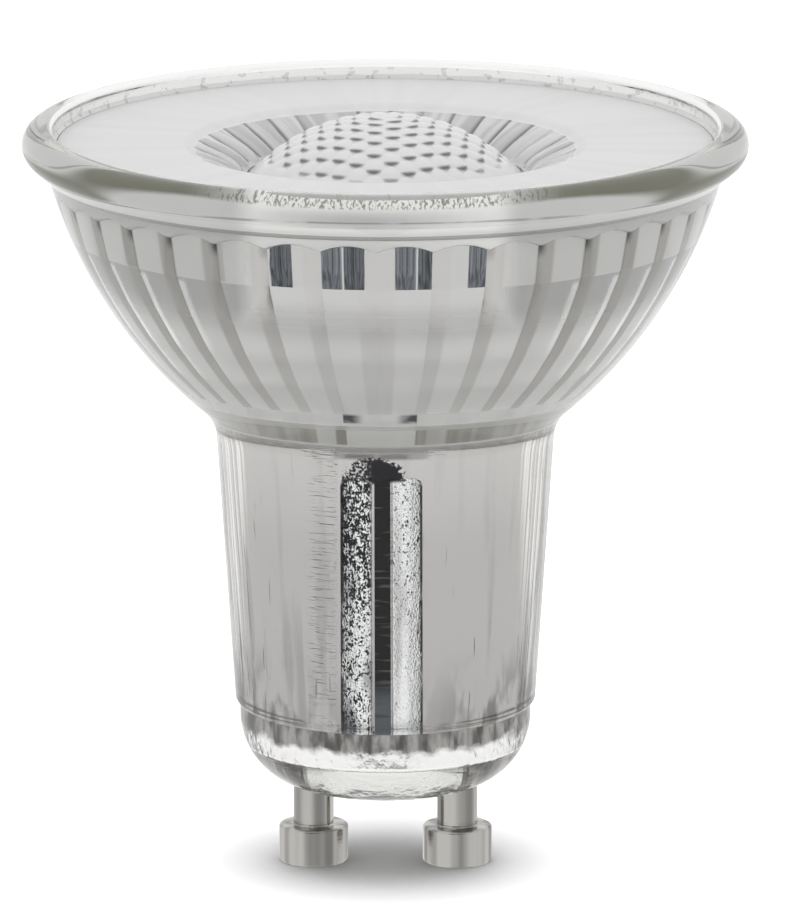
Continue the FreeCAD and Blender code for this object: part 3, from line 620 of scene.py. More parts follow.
# Painted shade: a dark band at the top of the lining, where it meets the neck.
painted_step_shade = lining.total(lining.place("Height"), lining.grain((700, 700, 900), 0.0, 1.0, 6.0))
painted_step_shade = lining.step(painted_step_shade, STEP_Z - 1.3, STEP_Z - 0.8)
shade_mottle = lining.grain((1500, 1500, 420), 0.35, 0.65, 5.0)
pale = lining.mix(specks, (0.99, 0.985, 0.98), (0.75, 0.74, 0.72))
step_shade_tone = lining.mix(shade_mottle, (0.09, 0.085, 0.08), (0.38, 0.37, 0.36))
lining.set("Base Color", lining.mix(painted_step_shade, pale, step_shade_tone))
lining.bump(lining.grain((420, 420, 420), 0.3, 0.7, 4.0), 0.45, 0.0002)
print("finishes:", slot_dark.material.name, lining.material.name)

# %% [markdown]
# ## The sealant's finish
# The lens is held in the rim by a thin bead of clear sealant that was laid by a nozzle. Its finish is
# made here, because a smear of it also lies on the inner wall of the rim, a little darker low down than
# at the top.

# %% The sealant's finish
sealant = Finish("sealant_bead", Roughness=0.25, IOR=1.41, Transmission_Weight=0.3)
level_up = sealant.place("Height")
bubbles = sealant.grain((1700, 1700, 1700), 0.57, 0.63, 4.0)
bubbles = sealant.both(bubbles, sealant.step(level_up, LENS_Z - 0.05, LENS_Z + 0.03))
rim_wall = sealant.step(sealant.place("Radius"), SEAT_RADIUS - 0.09, SEAT_RADIUS - 0.04)
thin_out = sealant.step(level_up, LENS_Z - 0.2, LENS_Z + 0.3)
smear = sealant.mix(thin_out, (0.86, 0.86, 0.83), (0.93, 0.93, 0.92))
body_tone = sealant.mix(rim_wall, (0.97, 0.97, 0.96), smear)
sealant.set("Base Color", sealant.mix(bubbles, body_tone, (0.7, 0.7, 0.67)))
sealant.bump(sealant.grain((1100, 1100, 1100), 0.3, 0.7, 3.0), 0.15, 0.0001)
print("finish:", sealant.material.name)

# %% [markdown]
# ## The glass body
# The outline runs from the middle of the base up the outside, over the round bead of the rim, and down
# the inside. The outside is the mould's: a rounded base, a small step, a tapered neck, an eased shoulder,
# the bowl and the bead. You could subdivide a rough cage instead, but the outline puts each radius
# exactly where the solid has it.

# %% Outline of the glass: outside
FILM, LINING, SLOT, SMEAR = 1, 2, 3, 4
BASE_RADIUS = NECK_BOTTOM - 0.32
BASE_ROUND = 5.0
BEAD = 1.25
LIP_ROUND = 0.41
bowl_low = (NECK_TOP + 0.5, SHOULDER_Z + 0.55)
bowl_high = (RIM_RADIUS - 1.85, BEAD_Z - 0.2)
outer = straight((0.0, BASE_Z), (BASE_RADIUS - BASE_ROUND, BASE_Z), 4)
outer += arc(BASE_RADIUS - BASE_ROUND, BASE_Z + BASE_ROUND, BASE_ROUND, -90, 0, 16)[1:]
outer += [(BASE_RADIUS, STEP_Z - 0.2)]
outer += bowed((BASE_RADIUS + 0.02, STEP_Z), (NECK_BOTTOM, STEP_Z + 0.45), 0.6, 5)
outer += straight((NECK_BOTTOM, STEP_Z + 0.5), (NECK_TOP - 0.09, SHOULDER_Z - 1.35), 12)
bowl_side = bowed(bowl_low, bowl_high, 33.0, 26)[1:]
outer += eased(outer[-1], (NECK_TOP + 0.01, SHOULDER_Z + 0.15), bowl_side[0], 10)[1:-1] + bowl_side
outer += [(RIM_RADIUS - 1.74, BEAD_Z), (RIM_RADIUS - 1.58, BEAD_Z + 0.15)]
outer += arc(RIM_RADIUS - BEAD, RIM_Z - BEAD, BEAD, -42, 90, 20)
outer += arc(SEAT_RADIUS + LIP_ROUND, RIM_Z - LIP_ROUND, LIP_ROUND, 90, 180, 10)
outline = marked(outer[:-1]) + marked([outer[-1], (SEAT_RADIUS, LENS_Z + 0.1)], SMEAR)
print("outside of the glass:", len(outline), "points")

# %% [markdown]
# The inside has the seat of the lens, a lip, arches, the upright reeded band, four rows of flats down the
# bowl, a foot, a ledge and the neck. The rows are chords of one arc, which is what makes each reed a
# chain of flat facets. The neck gets closely spaced points where the ribs begin and end, so that their
# ends can be cut cleanly.

# %% Outline of the glass: inside
REED_TOP, REED_FOOT = 0.21, 0.13
ROWS, PER_ROW = 4, 5
EDGE = 0.03
seat_side = [(SEAT_RADIUS, LENS_Z - 0.3), (SEAT_RADIUS, SEAT_Z + 0.04), (SEAT_RADIUS - 0.04, SEAT_Z)]
lip_side = [(LIP_RADIUS + 0.04, SEAT_Z), (LIP_RADIUS, SEAT_Z - 0.04), (LIP_RADIUS, SEAT_Z - 0.5)]
outline += marked(seat_side + lip_side, FILM)
outline += marked([(LIP_RADIUS, ARCH_Z + EDGE), (LIP_RADIUS - EDGE, ARCH_Z)], FILM, 0.0, ARCH_RISE)
outline += marked([(BAND_RADIUS + EDGE, ARCH_Z), (BAND_RADIUS, ARCH_Z - EDGE)], FILM, REED_TOP, ARCH_RISE)
band_low = (BAND_RADIUS - 0.1, BAND_Z)
band_wall = straight((BAND_RADIUS - 0.02, ARCH_Z - 0.6), (band_low[0], BAND_Z + 0.1), 4)
outline += marked(band_wall, FILM, REED_TOP)
corners = bowed((LEDGE_RADIUS, FOOT_Z), band_low, 20.0, ROWS)[::-1]
for k in range(ROWS):
    for i, point in enumerate(straight(corners[k], corners[k + 1], PER_ROW)[1:], 1):
        share = (k + i / PER_ROW) / ROWS
        outline += marked([point], FILM, REED_TOP + (REED_FOOT - REED_TOP) * share)
foot = [(LEDGE_RADIUS, FOOT_Z - 0.5), (LEDGE_RADIUS, LEDGE_Z + EDGE), (LEDGE_RADIUS - EDGE, LEDGE_Z - GAP)]
outline += marked(foot, FILM, REED_FOOT)
neck_in_top, neck_in_bottom = NECK_TOP - NECK_WALL, NECK_BOTTOM - NECK_WALL
outline += marked([(neck_in_top + EDGE, LEDGE_Z - GAP), (neck_in_top, LEDGE_Z - GAP - EDGE)], FILM)
outline += marked(straight((neck_in_top, LEDGE_Z - 0.6), (neck_in_top, SHOULDER_Z), 4), FILM)
heights = [SHOULDER_Z - 0.6, SHOULDER_Z - 1.2] + [RIB_TOP + 0.14 - 0.07 * k for k in range(16)]
heights += [RIB_TOP - 1.6 - k for k in range(15)]
heights += [STEP_Z + 1.1 - 0.08 * k for k in range(13)] + [STEP_Z]
slope = (neck_in_top - neck_in_bottom) / (SHOULDER_Z - STEP_Z)
outline += marked([(neck_in_bottom + slope * (z - STEP_Z), z) for z in heights], FILM)
base_in = neck_in_bottom - 0.62
outline += marked([(base_in + 0.05, STEP_Z), (base_in, STEP_Z - 0.05), (base_in, FLOOR_Z + 1.2)], LINING)
outline += marked(arc(base_in - 0.3, FLOOR_Z + 0.3, 0.3, 0, -90, 9), LINING)
outline += marked(straight((base_in - 1.2, FLOOR_Z), (0.0, FLOOR_Z), 4), LINING)
print("glass outline:", len(outline), "points")

# %% [markdown]
# After the spin the reeds are pushed in. The guide ribs are straight bars on a round wall, so the columns
# of vertices beside them are first drawn upright, to the ribs' edges, and the columns between are then
# pushed inwards. A boolean with two bars would also do it, but then the spun faces around the bars would
# be cut into slivers.

# %% Spin, reeds and ribs
COLUMNS = 432
REEDS = 36
LAST_COLUMN = 44
RIB_DEPTH, RIB_ROUND, RIB_EDGE = 1.2, 0.8, 0.025
SLOT_LEFT, SLOT_RIGHT = -0.42, RIB_INNER - 0.03
RIB_MIDDLE, RIB_HALF = (RIB_INNER + RIB_OUTER) / 2, (RIB_OUTER - RIB_INNER) / 2
anchors = [(0, 0.0), (4, RIB_INNER - RIB_EDGE), (5, RIB_INNER + RIB_EDGE)]
anchors += [(18, RIB_OUTER - RIB_EDGE), (19, RIB_OUTER + RIB_EDGE)]
bm = spun(outline, COLUMNS)
cut_reeds(bm, REEDS)


def upright(column, r):
    ends = anchors + [(LAST_COLUMN, r * math.sin(LAST_COLUMN * 2 * math.pi / COLUMNS))]
    for (c0, x0), (c1, x1) in zip(ends, ends[1:]):
        if column <= c1:
            return x0 + (x1 - x0) * (column - c0) / (c1 - c0)


def rib_share(x, z):
    dx = abs(x - RIB_MIDDLE) - RIB_HALF + RIB_ROUND
    dz = abs(z - (STEP_Z + RIB_TOP) / 2) - (RIB_TOP - STEP_Z) / 2 + RIB_ROUND
    if x < RIB_MIDDLE:
        distance = max(dx, dz) - RIB_ROUND
    else:
        distance = math.hypot(max(dx, 0), max(dz, 0)) + min(max(dx, dz), 0) - RIB_ROUND
    return 1 - smooth(-0.024, 0.024, distance)


zone = bm.verts.layers.float["zone"]
for v in bm.verts:
    x, y, z = v.co / MM
    r = math.hypot(x, y)
    column = abs(math.atan2(x, abs(y))) / (2 * math.pi) * COLUMNS
    if v[zone] == FILM and STEP_Z - 0.01 < z < SHOULDER_Z - 0.01 and column < LAST_COLUMN:
        x_new = math.copysign(upright(column, r), x)
        y_new = math.copysign(math.sqrt(r * r - x_new * x_new), y)
        share = 1 - RIB_DEPTH * rib_share(abs(x_new), z) / r
        v.co = Vector((x_new, y_new * share, z)) * MM
zone_faces(bm)
for face in bm.faces:
    spot = face.calc_center_median() / MM
    in_slot = SLOT_LEFT < spot.x * math.copysign(1, -spot.y) < SLOT_RIGHT
    if face.material_index == FILM and STEP_Z < spot.z < RIB_TOP and in_slot:
        face.material_index = SLOT
piece("glass_body", bm, [glass, film, lining, slot_dark, sealant], ["glass_reflector"], "clear_glass")

# %% [markdown]
# ## The lens
# The lens is moulded clear plastic. Its top is a frosted ring, then a smooth lip, then a fluted recess, and
# in the middle a dome of small six-sided pillows. Each of these scatters light in its own way, so each has
# its own finish. The dark lee of a pillow could be left to the light alone, but from far off it is painted
# shade, from a mask. The frosted ring is painted with a shadow along its outer edge, under the rim, and the
# flutes with painted shade along their ridges.

# %% Lens finishes
lens_clear = Finish("lens_clear", Roughness=0.03, IOR=1.49, Transmission_Weight=1.0)
clear_tone = lens_clear.mix(lens_clear.grain((300, 300, 300)), (0.97, 0.975, 0.98), (0.93, 0.935, 0.94))
lens_clear.set("Base Color", clear_tone)
lens_clear.bump(lens_clear.grain((700, 700, 700), 0.2, 0.8, 2.0), 0.1, 0.00005)

frosted = Finish("lens_frosted", Roughness=0.45, IOR=1.49, Transmission_Weight=0.12)
# Painted shadow: the frosted ring darkens along its outer edge.
painted_rim_shadow = frosted.step(frosted.place("Radius"), SEAT_RADIUS - 1.1, SEAT_RADIUS - 0.25)
ring_tone = frosted.mix(frosted.around(9.0, 0.35, 0.65), (0.83, 0.83, 0.832), (0.8, 0.8, 0.805))
frosted.set("Base Color", frosted.mix(painted_rim_shadow, ring_tone, (0.74, 0.74, 0.74)))
frosted.bump(frosted.grain((2600, 2600, 2600), 0.2, 0.8, 2.0), 0.12, 0.00008)

pillows = Finish("lens_pillows", Roughness=0.15, IOR=1.49, Transmission_Weight=0.25)
# Painted shade on the lee side of each pillow.
pillows.set("Base Color", pillows.mix(pillows.attribute("lee"), (0.97, 0.97, 0.97), (0.16, 0.16, 0.165)))
pillows.bump(pillows.grain((900, 900, 900), 0.2, 0.8, 2.0), 0.08, 0.00005)

flutes = Finish("lens_flutes", Roughness=0.04, IOR=1.49, Transmission_Weight=0.35)
# Painted shade along the ridges between the flutes.
painted_ridge_shade = flutes.both(flutes.step(flutes.attribute("cusp"), 0.55, 1.0), flutes.around(5.0, 0.35, 0.5))
wall = flutes.mix(flutes.around(14.0, 0.4, 0.6), (0.95, 0.95, 0.95), (0.7, 0.7, 0.71))
flutes.set("Base Color", flutes.mix(painted_ridge_shade, wall, (0.3, 0.3, 0.3)))
flutes.bump(flutes.grain((600, 600, 600), 0.2, 0.8, 2.0), 0.2, 0.0001)
print("lens finishes:", [f.material.name for f in (lens_clear, frosted, pillows, flutes)])

# %% [markdown]
# The body of the lens is spun like the glass: the pocket over the light source, the collimator's curved
# side, the flat edge that rests on the seat, the ring and the recess. The flutes of the recess come from
# the same reed mark as the bowl's. The spin stops at the foot of the dome, because the dome isn't a
# turned shape.

# %% Lens body
FROSTED, PILLOWS, FLUTES = 1, 2, 3
LENS_RADIUS = SEAT_RADIUS - 0.25
LENS_EDGE = 0.12
RECESS_Z = LENS_Z - 2.3
RECESS_TOP, RECESS_FOOT = 13.3, 9.95
LIP_DROP = 0.38
FLUTE_DEPTH = 0.8
LENS_FOOT = LEDGE_Z + 2.9
POCKET_TOP = LENS_FOOT + 4.2
POCKET, COLLIMATOR_FOOT, COLLIMATOR_TOP = 3.9, 5.0, 12.8
under = [(0.0, POCKET_TOP - 0.9), (1.0, POCKET_TOP - 0.85)]
under += [(2.0, POCKET_TOP - 0.67), (3.0, POCKET_TOP - 0.37)]
under += [(POCKET - 0.04, POCKET_TOP - 0.02), (POCKET, POCKET_TOP - 0.06)]
under += [(POCKET, LENS_FOOT + 0.05), (POCKET + 0.05, LENS_FOOT), (COLLIMATOR_FOOT - 0.05, LENS_FOOT)]
under += bowed((COLLIMATOR_FOOT, LENS_FOOT + 0.05), (COLLIMATOR_TOP, SEAT_Z - 0.05), 30.0, 20)
edge = [(r, SEAT_Z + GAP) for r in (COLLIMATOR_TOP + 0.05, 16.0, 19.0, LENS_RADIUS - 0.1)]
edge += [(LENS_RADIUS, SEAT_Z + 0.1), (LENS_RADIUS, LENS_Z - LENS_EDGE)]
edge += arc(LENS_RADIUS - LENS_EDGE, LENS_Z - LENS_EDGE, LENS_EDGE, 0, 80, 8)[1:]
ring_top = [(r, LENS_Z) for r in (LENS_RADIUS - 0.2, 20.0, 17.0, 14.4, 14.1)]
lip = [(13.95, LENS_Z - 0.02), (13.75, LENS_Z - 0.08), (13.5, LENS_Z - 0.22), (13.35, LENS_Z - 0.33)]
outline = marked(under) + marked(edge + ring_top + lip, FROSTED)
for share in (0.04, 0.12, 0.24, 0.38, 0.52, 0.66, 0.8, 0.92):
    r = RECESS_TOP + (RECESS_FOOT - RECESS_TOP) * share
    z = LENS_Z - LIP_DROP + (RECESS_Z - LENS_Z + LIP_DROP) * share
    outline += marked([(r, z)], FLUTES, FLUTE_DEPTH * math.sin(math.pi * share) ** 0.8)
outline += marked([(9.9, RECESS_Z), (9.6, RECESS_Z - 0.02)], FLUTES)
bm = spun(outline, 288)
cut_reeds(bm, REEDS)
zone_faces(bm)
moat = [e for e in bm.edges if len(e.link_faces) == 1]
print("lens outline:", len(outline), "points,", len(moat), "edges left open for the dome")

# %% [markdown]
# The dome starts as a flat grid. A shear turns its squares into diamonds, and triangulating them gives a
# lattice whose points fall on the corners and centres of six-sided cells. Each point is then lifted onto
# the sphere, and higher the nearer it is to the middle of its cell. The edge is joined to the recess by
# bridging the two loops. A bump map could draw the cells too, but their edges would then be flat against
# the sky.

# %% Dome of pillows
DOME_RADIUS, DOME_CURVE = 9.4, 12.7
PITCH = 1.33
CELL = PITCH / math.sqrt(3)
SPLIT = 6
STEP = CELL / SPLIT
PILLOW = 0.18
PILLOW_FADE, PILLOW_END = 7.9, 8.5
COLUMN = PITCH * math.sqrt(0.75)
centre_z = RECESS_Z - math.sqrt(DOME_CURVE ** 2 - DOME_RADIUS ** 2)
half_count = int(DOME_RADIUS * 1.7 / STEP)


def from_cell(x, y):
    near = []
    for j in range(math.floor(x / COLUMN) - 1, math.floor(x / COLUMN) + 2):
        i = round(y / PITCH - j / 2 - 0.25)
        near.append(Vector((x - COLUMN * (j + 0.5), y - PITCH * (i + j / 2 + 0.25))))
    return min(near, key=lambda offset: offset.length)


painted_lee_shade = bm.verts.layers.float.new("lee")
grid = bmesh.ops.create_grid(
    bm, x_segments=2 * half_count, y_segments=2 * half_count, size=half_count * STEP * MM
)["verts"]
shear = Matrix.Identity(4)
shear[0][1], shear[0][3] = 0.5, 0.5 * COLUMN * MM
shear[1][1], shear[1][3] = math.sqrt(0.75), 0.25 * PITCH * MM
bmesh.ops.transform(bm, matrix=shear, verts=grid)
beyond = [v for v in grid if math.hypot(v.co.x, v.co.y) > (DOME_RADIUS - LENS_EDGE) * MM]
bmesh.ops.delete(bm, geom=beyond, context="VERTS")
grid = [v for v in grid if v.is_valid]
lattice = list({f for v in grid for f in v.link_faces})
bmesh.ops.triangulate(bm, faces=lattice, quad_method="SHORT_EDGE")
bmesh.ops.delete(bm, geom=[v for v in grid if not v.link_faces], context="VERTS")
grid = [v for v in grid if v.is_valid]
for v in grid:
    x, y = v.co.x / MM, v.co.y / MM
    r = math.hypot(x, y)
    offset = from_cell(x, y) / CELL
    pillow = 1 - smooth(PILLOW_FADE, PILLOW_END, r)
    lift = -PILLOW * offset.length_squared * pillow
    downhill = offset.dot(Vector((x, y))) / max(r, 0.1)
    # Painted shade: the lee layer darkens the downhill side of each pillow.
    v[painted_lee_shade] = smooth(0.3, 0.55, downhill) * (1 - smooth(0.68, 0.9, offset.length)) * pillow
    normal = Vector((x, y, math.sqrt(DOME_CURVE ** 2 - r * r))) / DOME_CURVE
    v.co = (Vector((0, 0, centre_z)) + normal * (DOME_CURVE + lift)) * MM
brim = list({e for v in grid for e in v.link_edges if len(e.link_faces) == 1})
for v in {v for e in brim for v in e.verts}:
    v.co = Vector((v.co.x, v.co.y, 0)).normalized() * DOME_RADIUS * MM + Vector((0, 0, RECESS_Z * MM))
bmesh.ops.bridge_loops(bm, edges=moat + brim)
bmesh.ops.recalc_face_normals(bm, faces=bm.faces)
dome = set(grid)
for face in bm.faces:
    if all(v in dome for v in face.verts):
        face.material_index = PILLOWS
piece("lens_optic", bm, [lens_clear, frosted, pillows, flutes], ["front_lens"], "clear_lens", 30)

# %% [markdown]
# ## The sealant
# A thin bead of clear sealant fills the gap between the lens and the rim. It was laid by a nozzle, so its
# top is uneven: the vertices of the spun ring are moved by a noise, which depends on their place and so
# is the same each time. A smooth ring would look machined.

# %% Sealant
WAVE = 0.05
inner, outside = LENS_RADIUS + GAP, SEAT_RADIUS - GAP
bead = straight((inner, SEAT_Z + GAP), (inner, LENS_Z), 3)
bead += [(inner + 0.05, LENS_Z + 0.04), (inner + 0.12, LENS_Z + 0.11), (outside - 0.04, LENS_Z + 0.22)]
bead += straight((outside, LENS_Z + 0.26), (outside, SEAT_Z + GAP), 3) + [(inner, SEAT_Z + GAP)]
bm = spun(marked(bead), 720)
for v in bm.verts:
    if v.co.z > (LENS_Z + 0.01) * MM:
        v.co.z += WAVE * MM * noise.noise(v.co / MM * 0.9)
piece("lens_seal", bm, [sealant], ["lens_sealant"], "sealant", 40)

# %% [markdown]
# ## The pins
# The pins are turned brass with a nickel plate: a button head with broken edges, a shank that goes up through
# the base, and a flared end inside. The lathe leaves fine rings, and the plate is drawn in upright streaks,
# which set its roughness. In its colour the streaks are painted reflection: dark stripes that stand for what
# the pins mirror. A cylinder with a bevel gives the head, but an outline gives head, shank and flare at once.

# %% Pins
SHANK, FLARE, BORE, BREAK, HEAD_TOP = 1.4, 1.7, 0.5, 0.2, 2.6
nickel = Finish("nickel_plate", Metallic=1.0)
# Painted reflection: the streaks darken the nickel in stripes, and also set its roughness.
painted_reflection_streaks = nickel.grain((620, 620, 8), 0.36, 0.6, 1.5)
nickel.set("Base Color", nickel.mix(painted_reflection_streaks, (0.2, 0.193, 0.183), (0.49, 0.476, 0.452)))
nickel.set("Roughness", nickel.step(painted_reflection_streaks, 0.0, 1.0, 0.26, 0.14))
nickel.bump(nickel.grain((60, 60, 9000), 0.3, 0.7, 2.0), 0.1, 0.00003)
profile = straight((0.0, 0.0), (HEAD_RADIUS - BREAK, 0.0), 3)
profile += arc(HEAD_RADIUS - BREAK, BREAK, BREAK, -90, 0, 9)[1:]
profile += straight((HEAD_RADIUS, 0.6), (HEAD_RADIUS, HEAD_TOP - 0.6), 3)
profile += arc(HEAD_RADIUS - BREAK, HEAD_TOP - BREAK, BREAK, 0, 90, 9)
profile += [(SHANK + 0.4, HEAD_TOP)] + arc(SHANK + 0.1, HEAD_TOP + 0.1, 0.1, -90, -180, 9)
profile += straight((SHANK, HEAD_TOP + 0.6), (SHANK, FLOOR_Z + GAP), 5)
profile += [(FLARE - 0.05, FLOOR_Z + GAP), (FLARE, FLOOR_Z + 0.07)]
profile += [(FLARE, PIN_TOP - 0.1), (FLARE - 0.1, PIN_TOP)]
profile += [(BORE, PIN_TOP), (BORE, HEAD_TOP + 1.0), (0.0, HEAD_TOP + 1.0)]
for name, side in (("pin_left", -1), ("pin_right", 1)):
    bm = spun(marked(profile), 96)
    bmesh.ops.translate(bm, verts=bm.verts, vec=(side * PIN_X * MM, 0, 0))
    piece(name, bm, [nickel], ["contact_" + name], "nickel", 30)

# %% [markdown]
# ## The pieces inside
# The heat spreader, the light source, the driver and its wires keep their solids. One recipe gives each
# its finish: two tones mixed by a grain, a roughness that follows the same grain, and a shallow bump at
# the material's own scale. Modelling them again would gain nothing, because only glints of them show
# through the lens.

# %% Finishes for the pieces inside
def dress(solids, name, dim, lit, scale, roughness, bump, metallic=0.0):
    finish = Finish(name, Metallic=metallic)
    mask = finish.grain(scale, 0.35, 0.65, 4.0)
    finish.set("Base Color", finish.mix(mask, dim, lit))
    finish.set("Roughness", finish.step(mask, 0.0, 1.0, *roughness))
    finish.bump(mask, bump, 0.0001)
    for solid in solids:
        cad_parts[solid].material_slots[0].material = finish.material
    print(name, "on", len(solids), "solids")


def even(scale):
    return (scale, scale, scale)


MOULDINGS = ["bridge_rectifier", "driver_chip", "recovery_diode"]
CANS = ["bulk_capacitor", "output_capacitor"]
CHIPS = ["start_resistor_lower", "start_resistor_upper", "sense_resistor", "bleed_resistor"]
dress(
    ["heat_spreader"], "spun_aluminium", (0.72, 0.72, 0.73), (0.82, 0.82, 0.83), (60, 60, 5000),
    (0.3, 0.42), 0.2, 1.0,
)
dress(["thermal_pad"], "thermal_paste", (0.6, 0.6, 0.62), (0.74, 0.74, 0.75), even(900), (0.7, 0.85), 0.3)
dress(["led_board"], "white_mask", (0.84, 0.84, 0.82), (0.92, 0.92, 0.9), even(500), (0.3, 0.45), 0.1)
dress(["emitter_dam"], "white_dam", (0.86, 0.86, 0.85), (0.95, 0.95, 0.94), even(700), (0.4, 0.55), 0.2)
dress(["emitter_phosphor"], "phosphor", (0.86, 0.62, 0.1), (0.95, 0.78, 0.22), even(1800), (0.4, 0.6), 0.3)
dress(["driver_board"], "green_mask", (0.02, 0.17, 0.06), (0.04, 0.26, 0.1), even(350), (0.3, 0.45), 0.15)
dress(["fuse_resistor"], "lacquer", (0.2, 0.36, 0.3), (0.3, 0.48, 0.42), even(800), (0.25, 0.4), 0.15)
dress(MOULDINGS, "moulding", (0.014, 0.014, 0.015), (0.035, 0.035, 0.036), even(2200), (0.5, 0.7), 0.3)
dress(CANS, "sleeve", (0.02, 0.022, 0.03), (0.045, 0.048, 0.06), (500, 500, 60), (0.25, 0.4), 0.1)
dress(["inductor_core"], "ferrite", (0.05, 0.048, 0.047), (0.1, 0.095, 0.092), even(1500), (0.6, 0.8), 0.4)
dress(
    ["inductor_winding"], "enamelled_copper", (0.5, 0.2, 0.07), (0.78, 0.4, 0.17), (5200, 120, 120),
    (0.22, 0.35), 0.8, 1.0,
)
dress(CHIPS, "chip_glaze", (0.02, 0.02, 0.022), (0.06, 0.06, 0.065), even(1500), (0.2, 0.4), 0.15)
WIRES = (
    (["mains_lead_left", "mains_lead_right"], "white_wire", (0.76, 0.76, 0.73), (0.86, 0.86, 0.83)),
    (["led_lead_positive"], "red_wire", (0.42, 0.015, 0.012), (0.56, 0.03, 0.025)),
    (["led_lead_negative"], "black_wire", (0.01, 0.01, 0.011), (0.025, 0.025, 0.026)),
)
for wire in WIRES:
    dress(*wire, (600, 600, 200), (0.35, 0.5), 0.1)

# %% [markdown]
# ## The floor
# The bulb stands on a plain white floor. Its paint darkens where something stands close, which an Ambient
# Occlusion node measures, so that the shadow stays small and soft. Light Path lets the camera see the
# open floor as white, and lets mirrors and glass see it evenly lit. A brighter lamp would whiten the
# floor too, but it would also bleach the bulb.

# %% Floor
FLOOR_HALF = 3.0
CONTACT_REACH = 0.013
SHADOW_TONE, FLOOR_TONE = 0.5, 0.96
CAMERA_LIFT = 0.6
UNDER_RADIUS, NEAR_RADIUS, FAR_RADIUS = 14, 30, 160


def sheet(name, corners, finish):
    mesh = bpy.data.meshes.new(name)
    bm = bmesh.new()
    bm.faces.new([bm.verts.new(c) for c in corners])
    bm.to_mesh(mesh)
    bm.free()
    mesh.materials.append(finish.material)
    obj = bpy.data.objects.new(name, mesh)
    scene.collection.objects.link(obj)
    return obj


paint = Finish("floor_paint", Roughness=0.7)
closeness = add_node(paint.nodes, "AmbientOcclusion", samples=16)
closeness.inputs["Distance"].default_value = CONTACT_REACH
contact = paint.step(closeness.outputs["AO"], 0.3, 1.0)
paint.set("Base Color", paint.total(paint.both(contact, FLOOR_TONE - SHADOW_TONE), SHADOW_TONE))
rays = add_node(paint.nodes, "LightPath").outputs
lifted = add_node(paint.nodes, "AddShader")
paint.links.new(paint.shader.outputs[0], lifted.inputs[0])
paint.links.new(paint.glow(paint.both(rays["Is Camera Ray"], CAMERA_LIFT, contact)), lifted.inputs[1])
away = paint.place("Radius")
spread = paint.step(away, NEAR_RADIUS, FAR_RADIUS, 0.97, 1.0)
beneath = paint.step(away, NEAR_RADIUS + 2, UNDER_RADIUS, 0.0, 0.03)
choice = add_node(paint.nodes, "MixShader")
paint.links.new(paint.most(rays["Is Glossy Ray"], rays["Is Transmission Ray"]), choice.inputs[0])
paint.links.new(lifted.outputs[0], choice.inputs[1])
paint.links.new(paint.glow(paint.total(spread, beneath)), choice.inputs[2])
paint.links.new(choice.outputs[0], paint.output.inputs["Surface"])
signs = ((-1, -1), (1, -1), (1, 1), (-1, 1))
floor = sheet("floor", [(x * FLOOR_HALF, y * FLOOR_HALF, 0) for x, y in signs], paint)
print("floor:", floor.name, "with", len(paint.nodes), "nodes")

# %% [markdown]
# ## The dark panels
# A mirror only shows what stands before it. In a studio that is the dark room behind the camera, so two
# dark cloths stand there. Only reflections and glass see them: they give the black windows in the upright
# band of the reflector. You could darken the band's film instead, but then the windows wouldn't move as
# you walk round the bulb.

# %% Panels
PANEL_Y, PANEL_LOW, PANEL_HIGH = -0.95, 0.05, 0.42
for name, left, right, tone in (("panel_left", -28, -6, 0.012), ("panel_right", -4, 18, 0.1)):
    x0, x1 = [-PANEL_Y * math.tan(math.radians(a)) for a in (left, right)]
    spots = ((x0, PANEL_LOW), (x1, PANEL_LOW), (x1, PANEL_HIGH), (x0, PANEL_HIGH))
    cloth = Finish(name + "_cloth", Roughness=0.7)
    weave = cloth.grain((70, 70, 40), 0.4, 0.62, 5.0)
    dim = [tone * s for s in (0.6, 0.7, 0.9)]
    lit = [tone * 2 + s for s in (0.2, 0.23, 0.27)]
    cloth.set("Base Color", cloth.mix(weave, dim, lit))
    panel = sheet(name, [(x, PANEL_Y, z) for x, z in spots], cloth)
    panel.visible_camera = False
    panel.visible_diffuse = False
    panel.visible_shadow = False
    print(name, "from", round(x0, 2), "to", round(x1, 2), "m")

# %% [markdown]
# ## The light
# The light is a wide soft studio: the world is brightest overhead and dims a little towards the horizon,
# as under a big softbox. Area lamps would do as well, but each would show as a sharp square in the
# mirrors. Clear glass with mirrors behind it needs more bounces than usual, or thick places turn black.

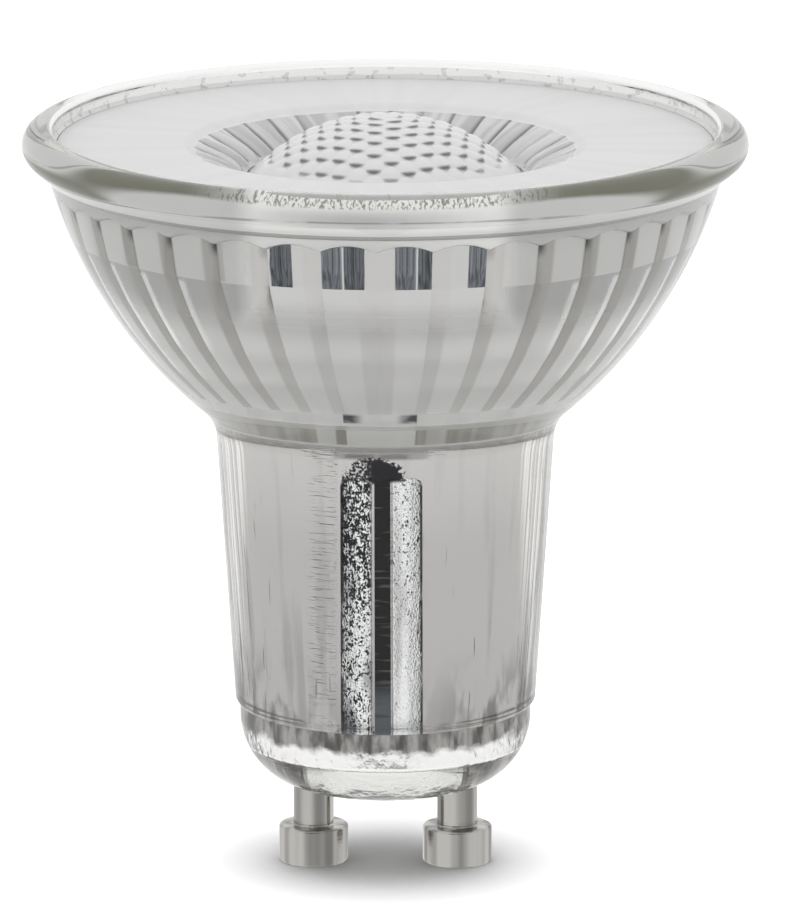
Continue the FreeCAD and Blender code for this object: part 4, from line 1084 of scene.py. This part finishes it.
# %% Light
HORIZON, OVERHEAD = 0.94, 1.0
world = bpy.data.worlds.new("studio")
world.use_nodes = True
scene.world = world
nodes, links = world.node_tree.nodes, world.node_tree.links
direction = add_node(nodes, "TexCoord")
split = add_node(nodes, "SeparateXYZ")
level = add_node(nodes, "MapRange", interpolation_type="SMOOTHSTEP")
level.inputs["To Min"].default_value = HORIZON
level.inputs["To Max"].default_value = OVERHEAD
links.new(direction.outputs["Generated"], split.inputs[0])
links.new(split.outputs["Z"], level.inputs["Value"])
path = add_node(nodes, "LightPath")
choice = add_node(nodes, "Mix", data_type="FLOAT")
links.new(path.outputs["Is Camera Ray"], choice.inputs["Factor"])
links.new(level.outputs["Result"], choice.inputs["A"])
choice.inputs["B"].default_value = 1.0
links.new(choice.outputs["Result"], nodes["Background"].inputs["Strength"])
nodes["Background"].inputs["Color"].default_value = (1, 1, 1, 1)
scene.cycles.max_bounces = 24
scene.cycles.glossy_bounces = 12
scene.cycles.transmission_bounces = 24
print("world from", HORIZON, "at the horizon to", OVERHEAD, "overhead")

# %% [markdown]
# ## The camera
# The camera stands about 0.8 m off with a long lens, a little above the bulb. Its aim is moved sideways
# and up by the pixels that put the bulb's middle where the photograph has it. Turning the camera would
# also move the bulb in the picture, but it would tilt the view a little at the same time.

# %% Camera
FRAME_WIDTH, FRAME_HEIGHT = 800, 920
FOCAL_PIXELS = 11601.8
BULB_PIXEL = (385.4, 481.94)
BULB_MIDDLE = 27.0
TURN, TILT, DISTANCE = math.radians(1.5), 0.2266, 0.8027
camera_data = bpy.data.cameras.new("camera")
camera = bpy.data.objects.new("camera", camera_data)
scene.collection.objects.link(camera)
scene.camera = camera
camera_data.sensor_fit = "VERTICAL"
camera_data.sensor_height = 36.0
camera_data.lens = camera_data.sensor_height * FOCAL_PIXELS / FRAME_HEIGHT
camera_data.clip_start = 0.01
back = Vector((math.sin(TURN) * math.cos(TILT), -math.cos(TURN) * math.cos(TILT), math.sin(TILT)))
right = Vector((math.cos(TURN), math.sin(TURN), 0))
up = right.cross(-back)
pixel = DISTANCE / FOCAL_PIXELS
aim = Vector((0, 0, BULB_MIDDLE * MM)) + right * (FRAME_WIDTH / 2 - BULB_PIXEL[0]) * pixel
aim += up * (BULB_PIXEL[1] - FRAME_HEIGHT / 2) * pixel
camera.location = aim + back * DISTANCE
camera.rotation_euler = (-back).to_track_quat("-Z", "Y").to_euler()
scene.view_settings.view_transform = "Standard"
print("lens", round(camera_data.lens), "mm")
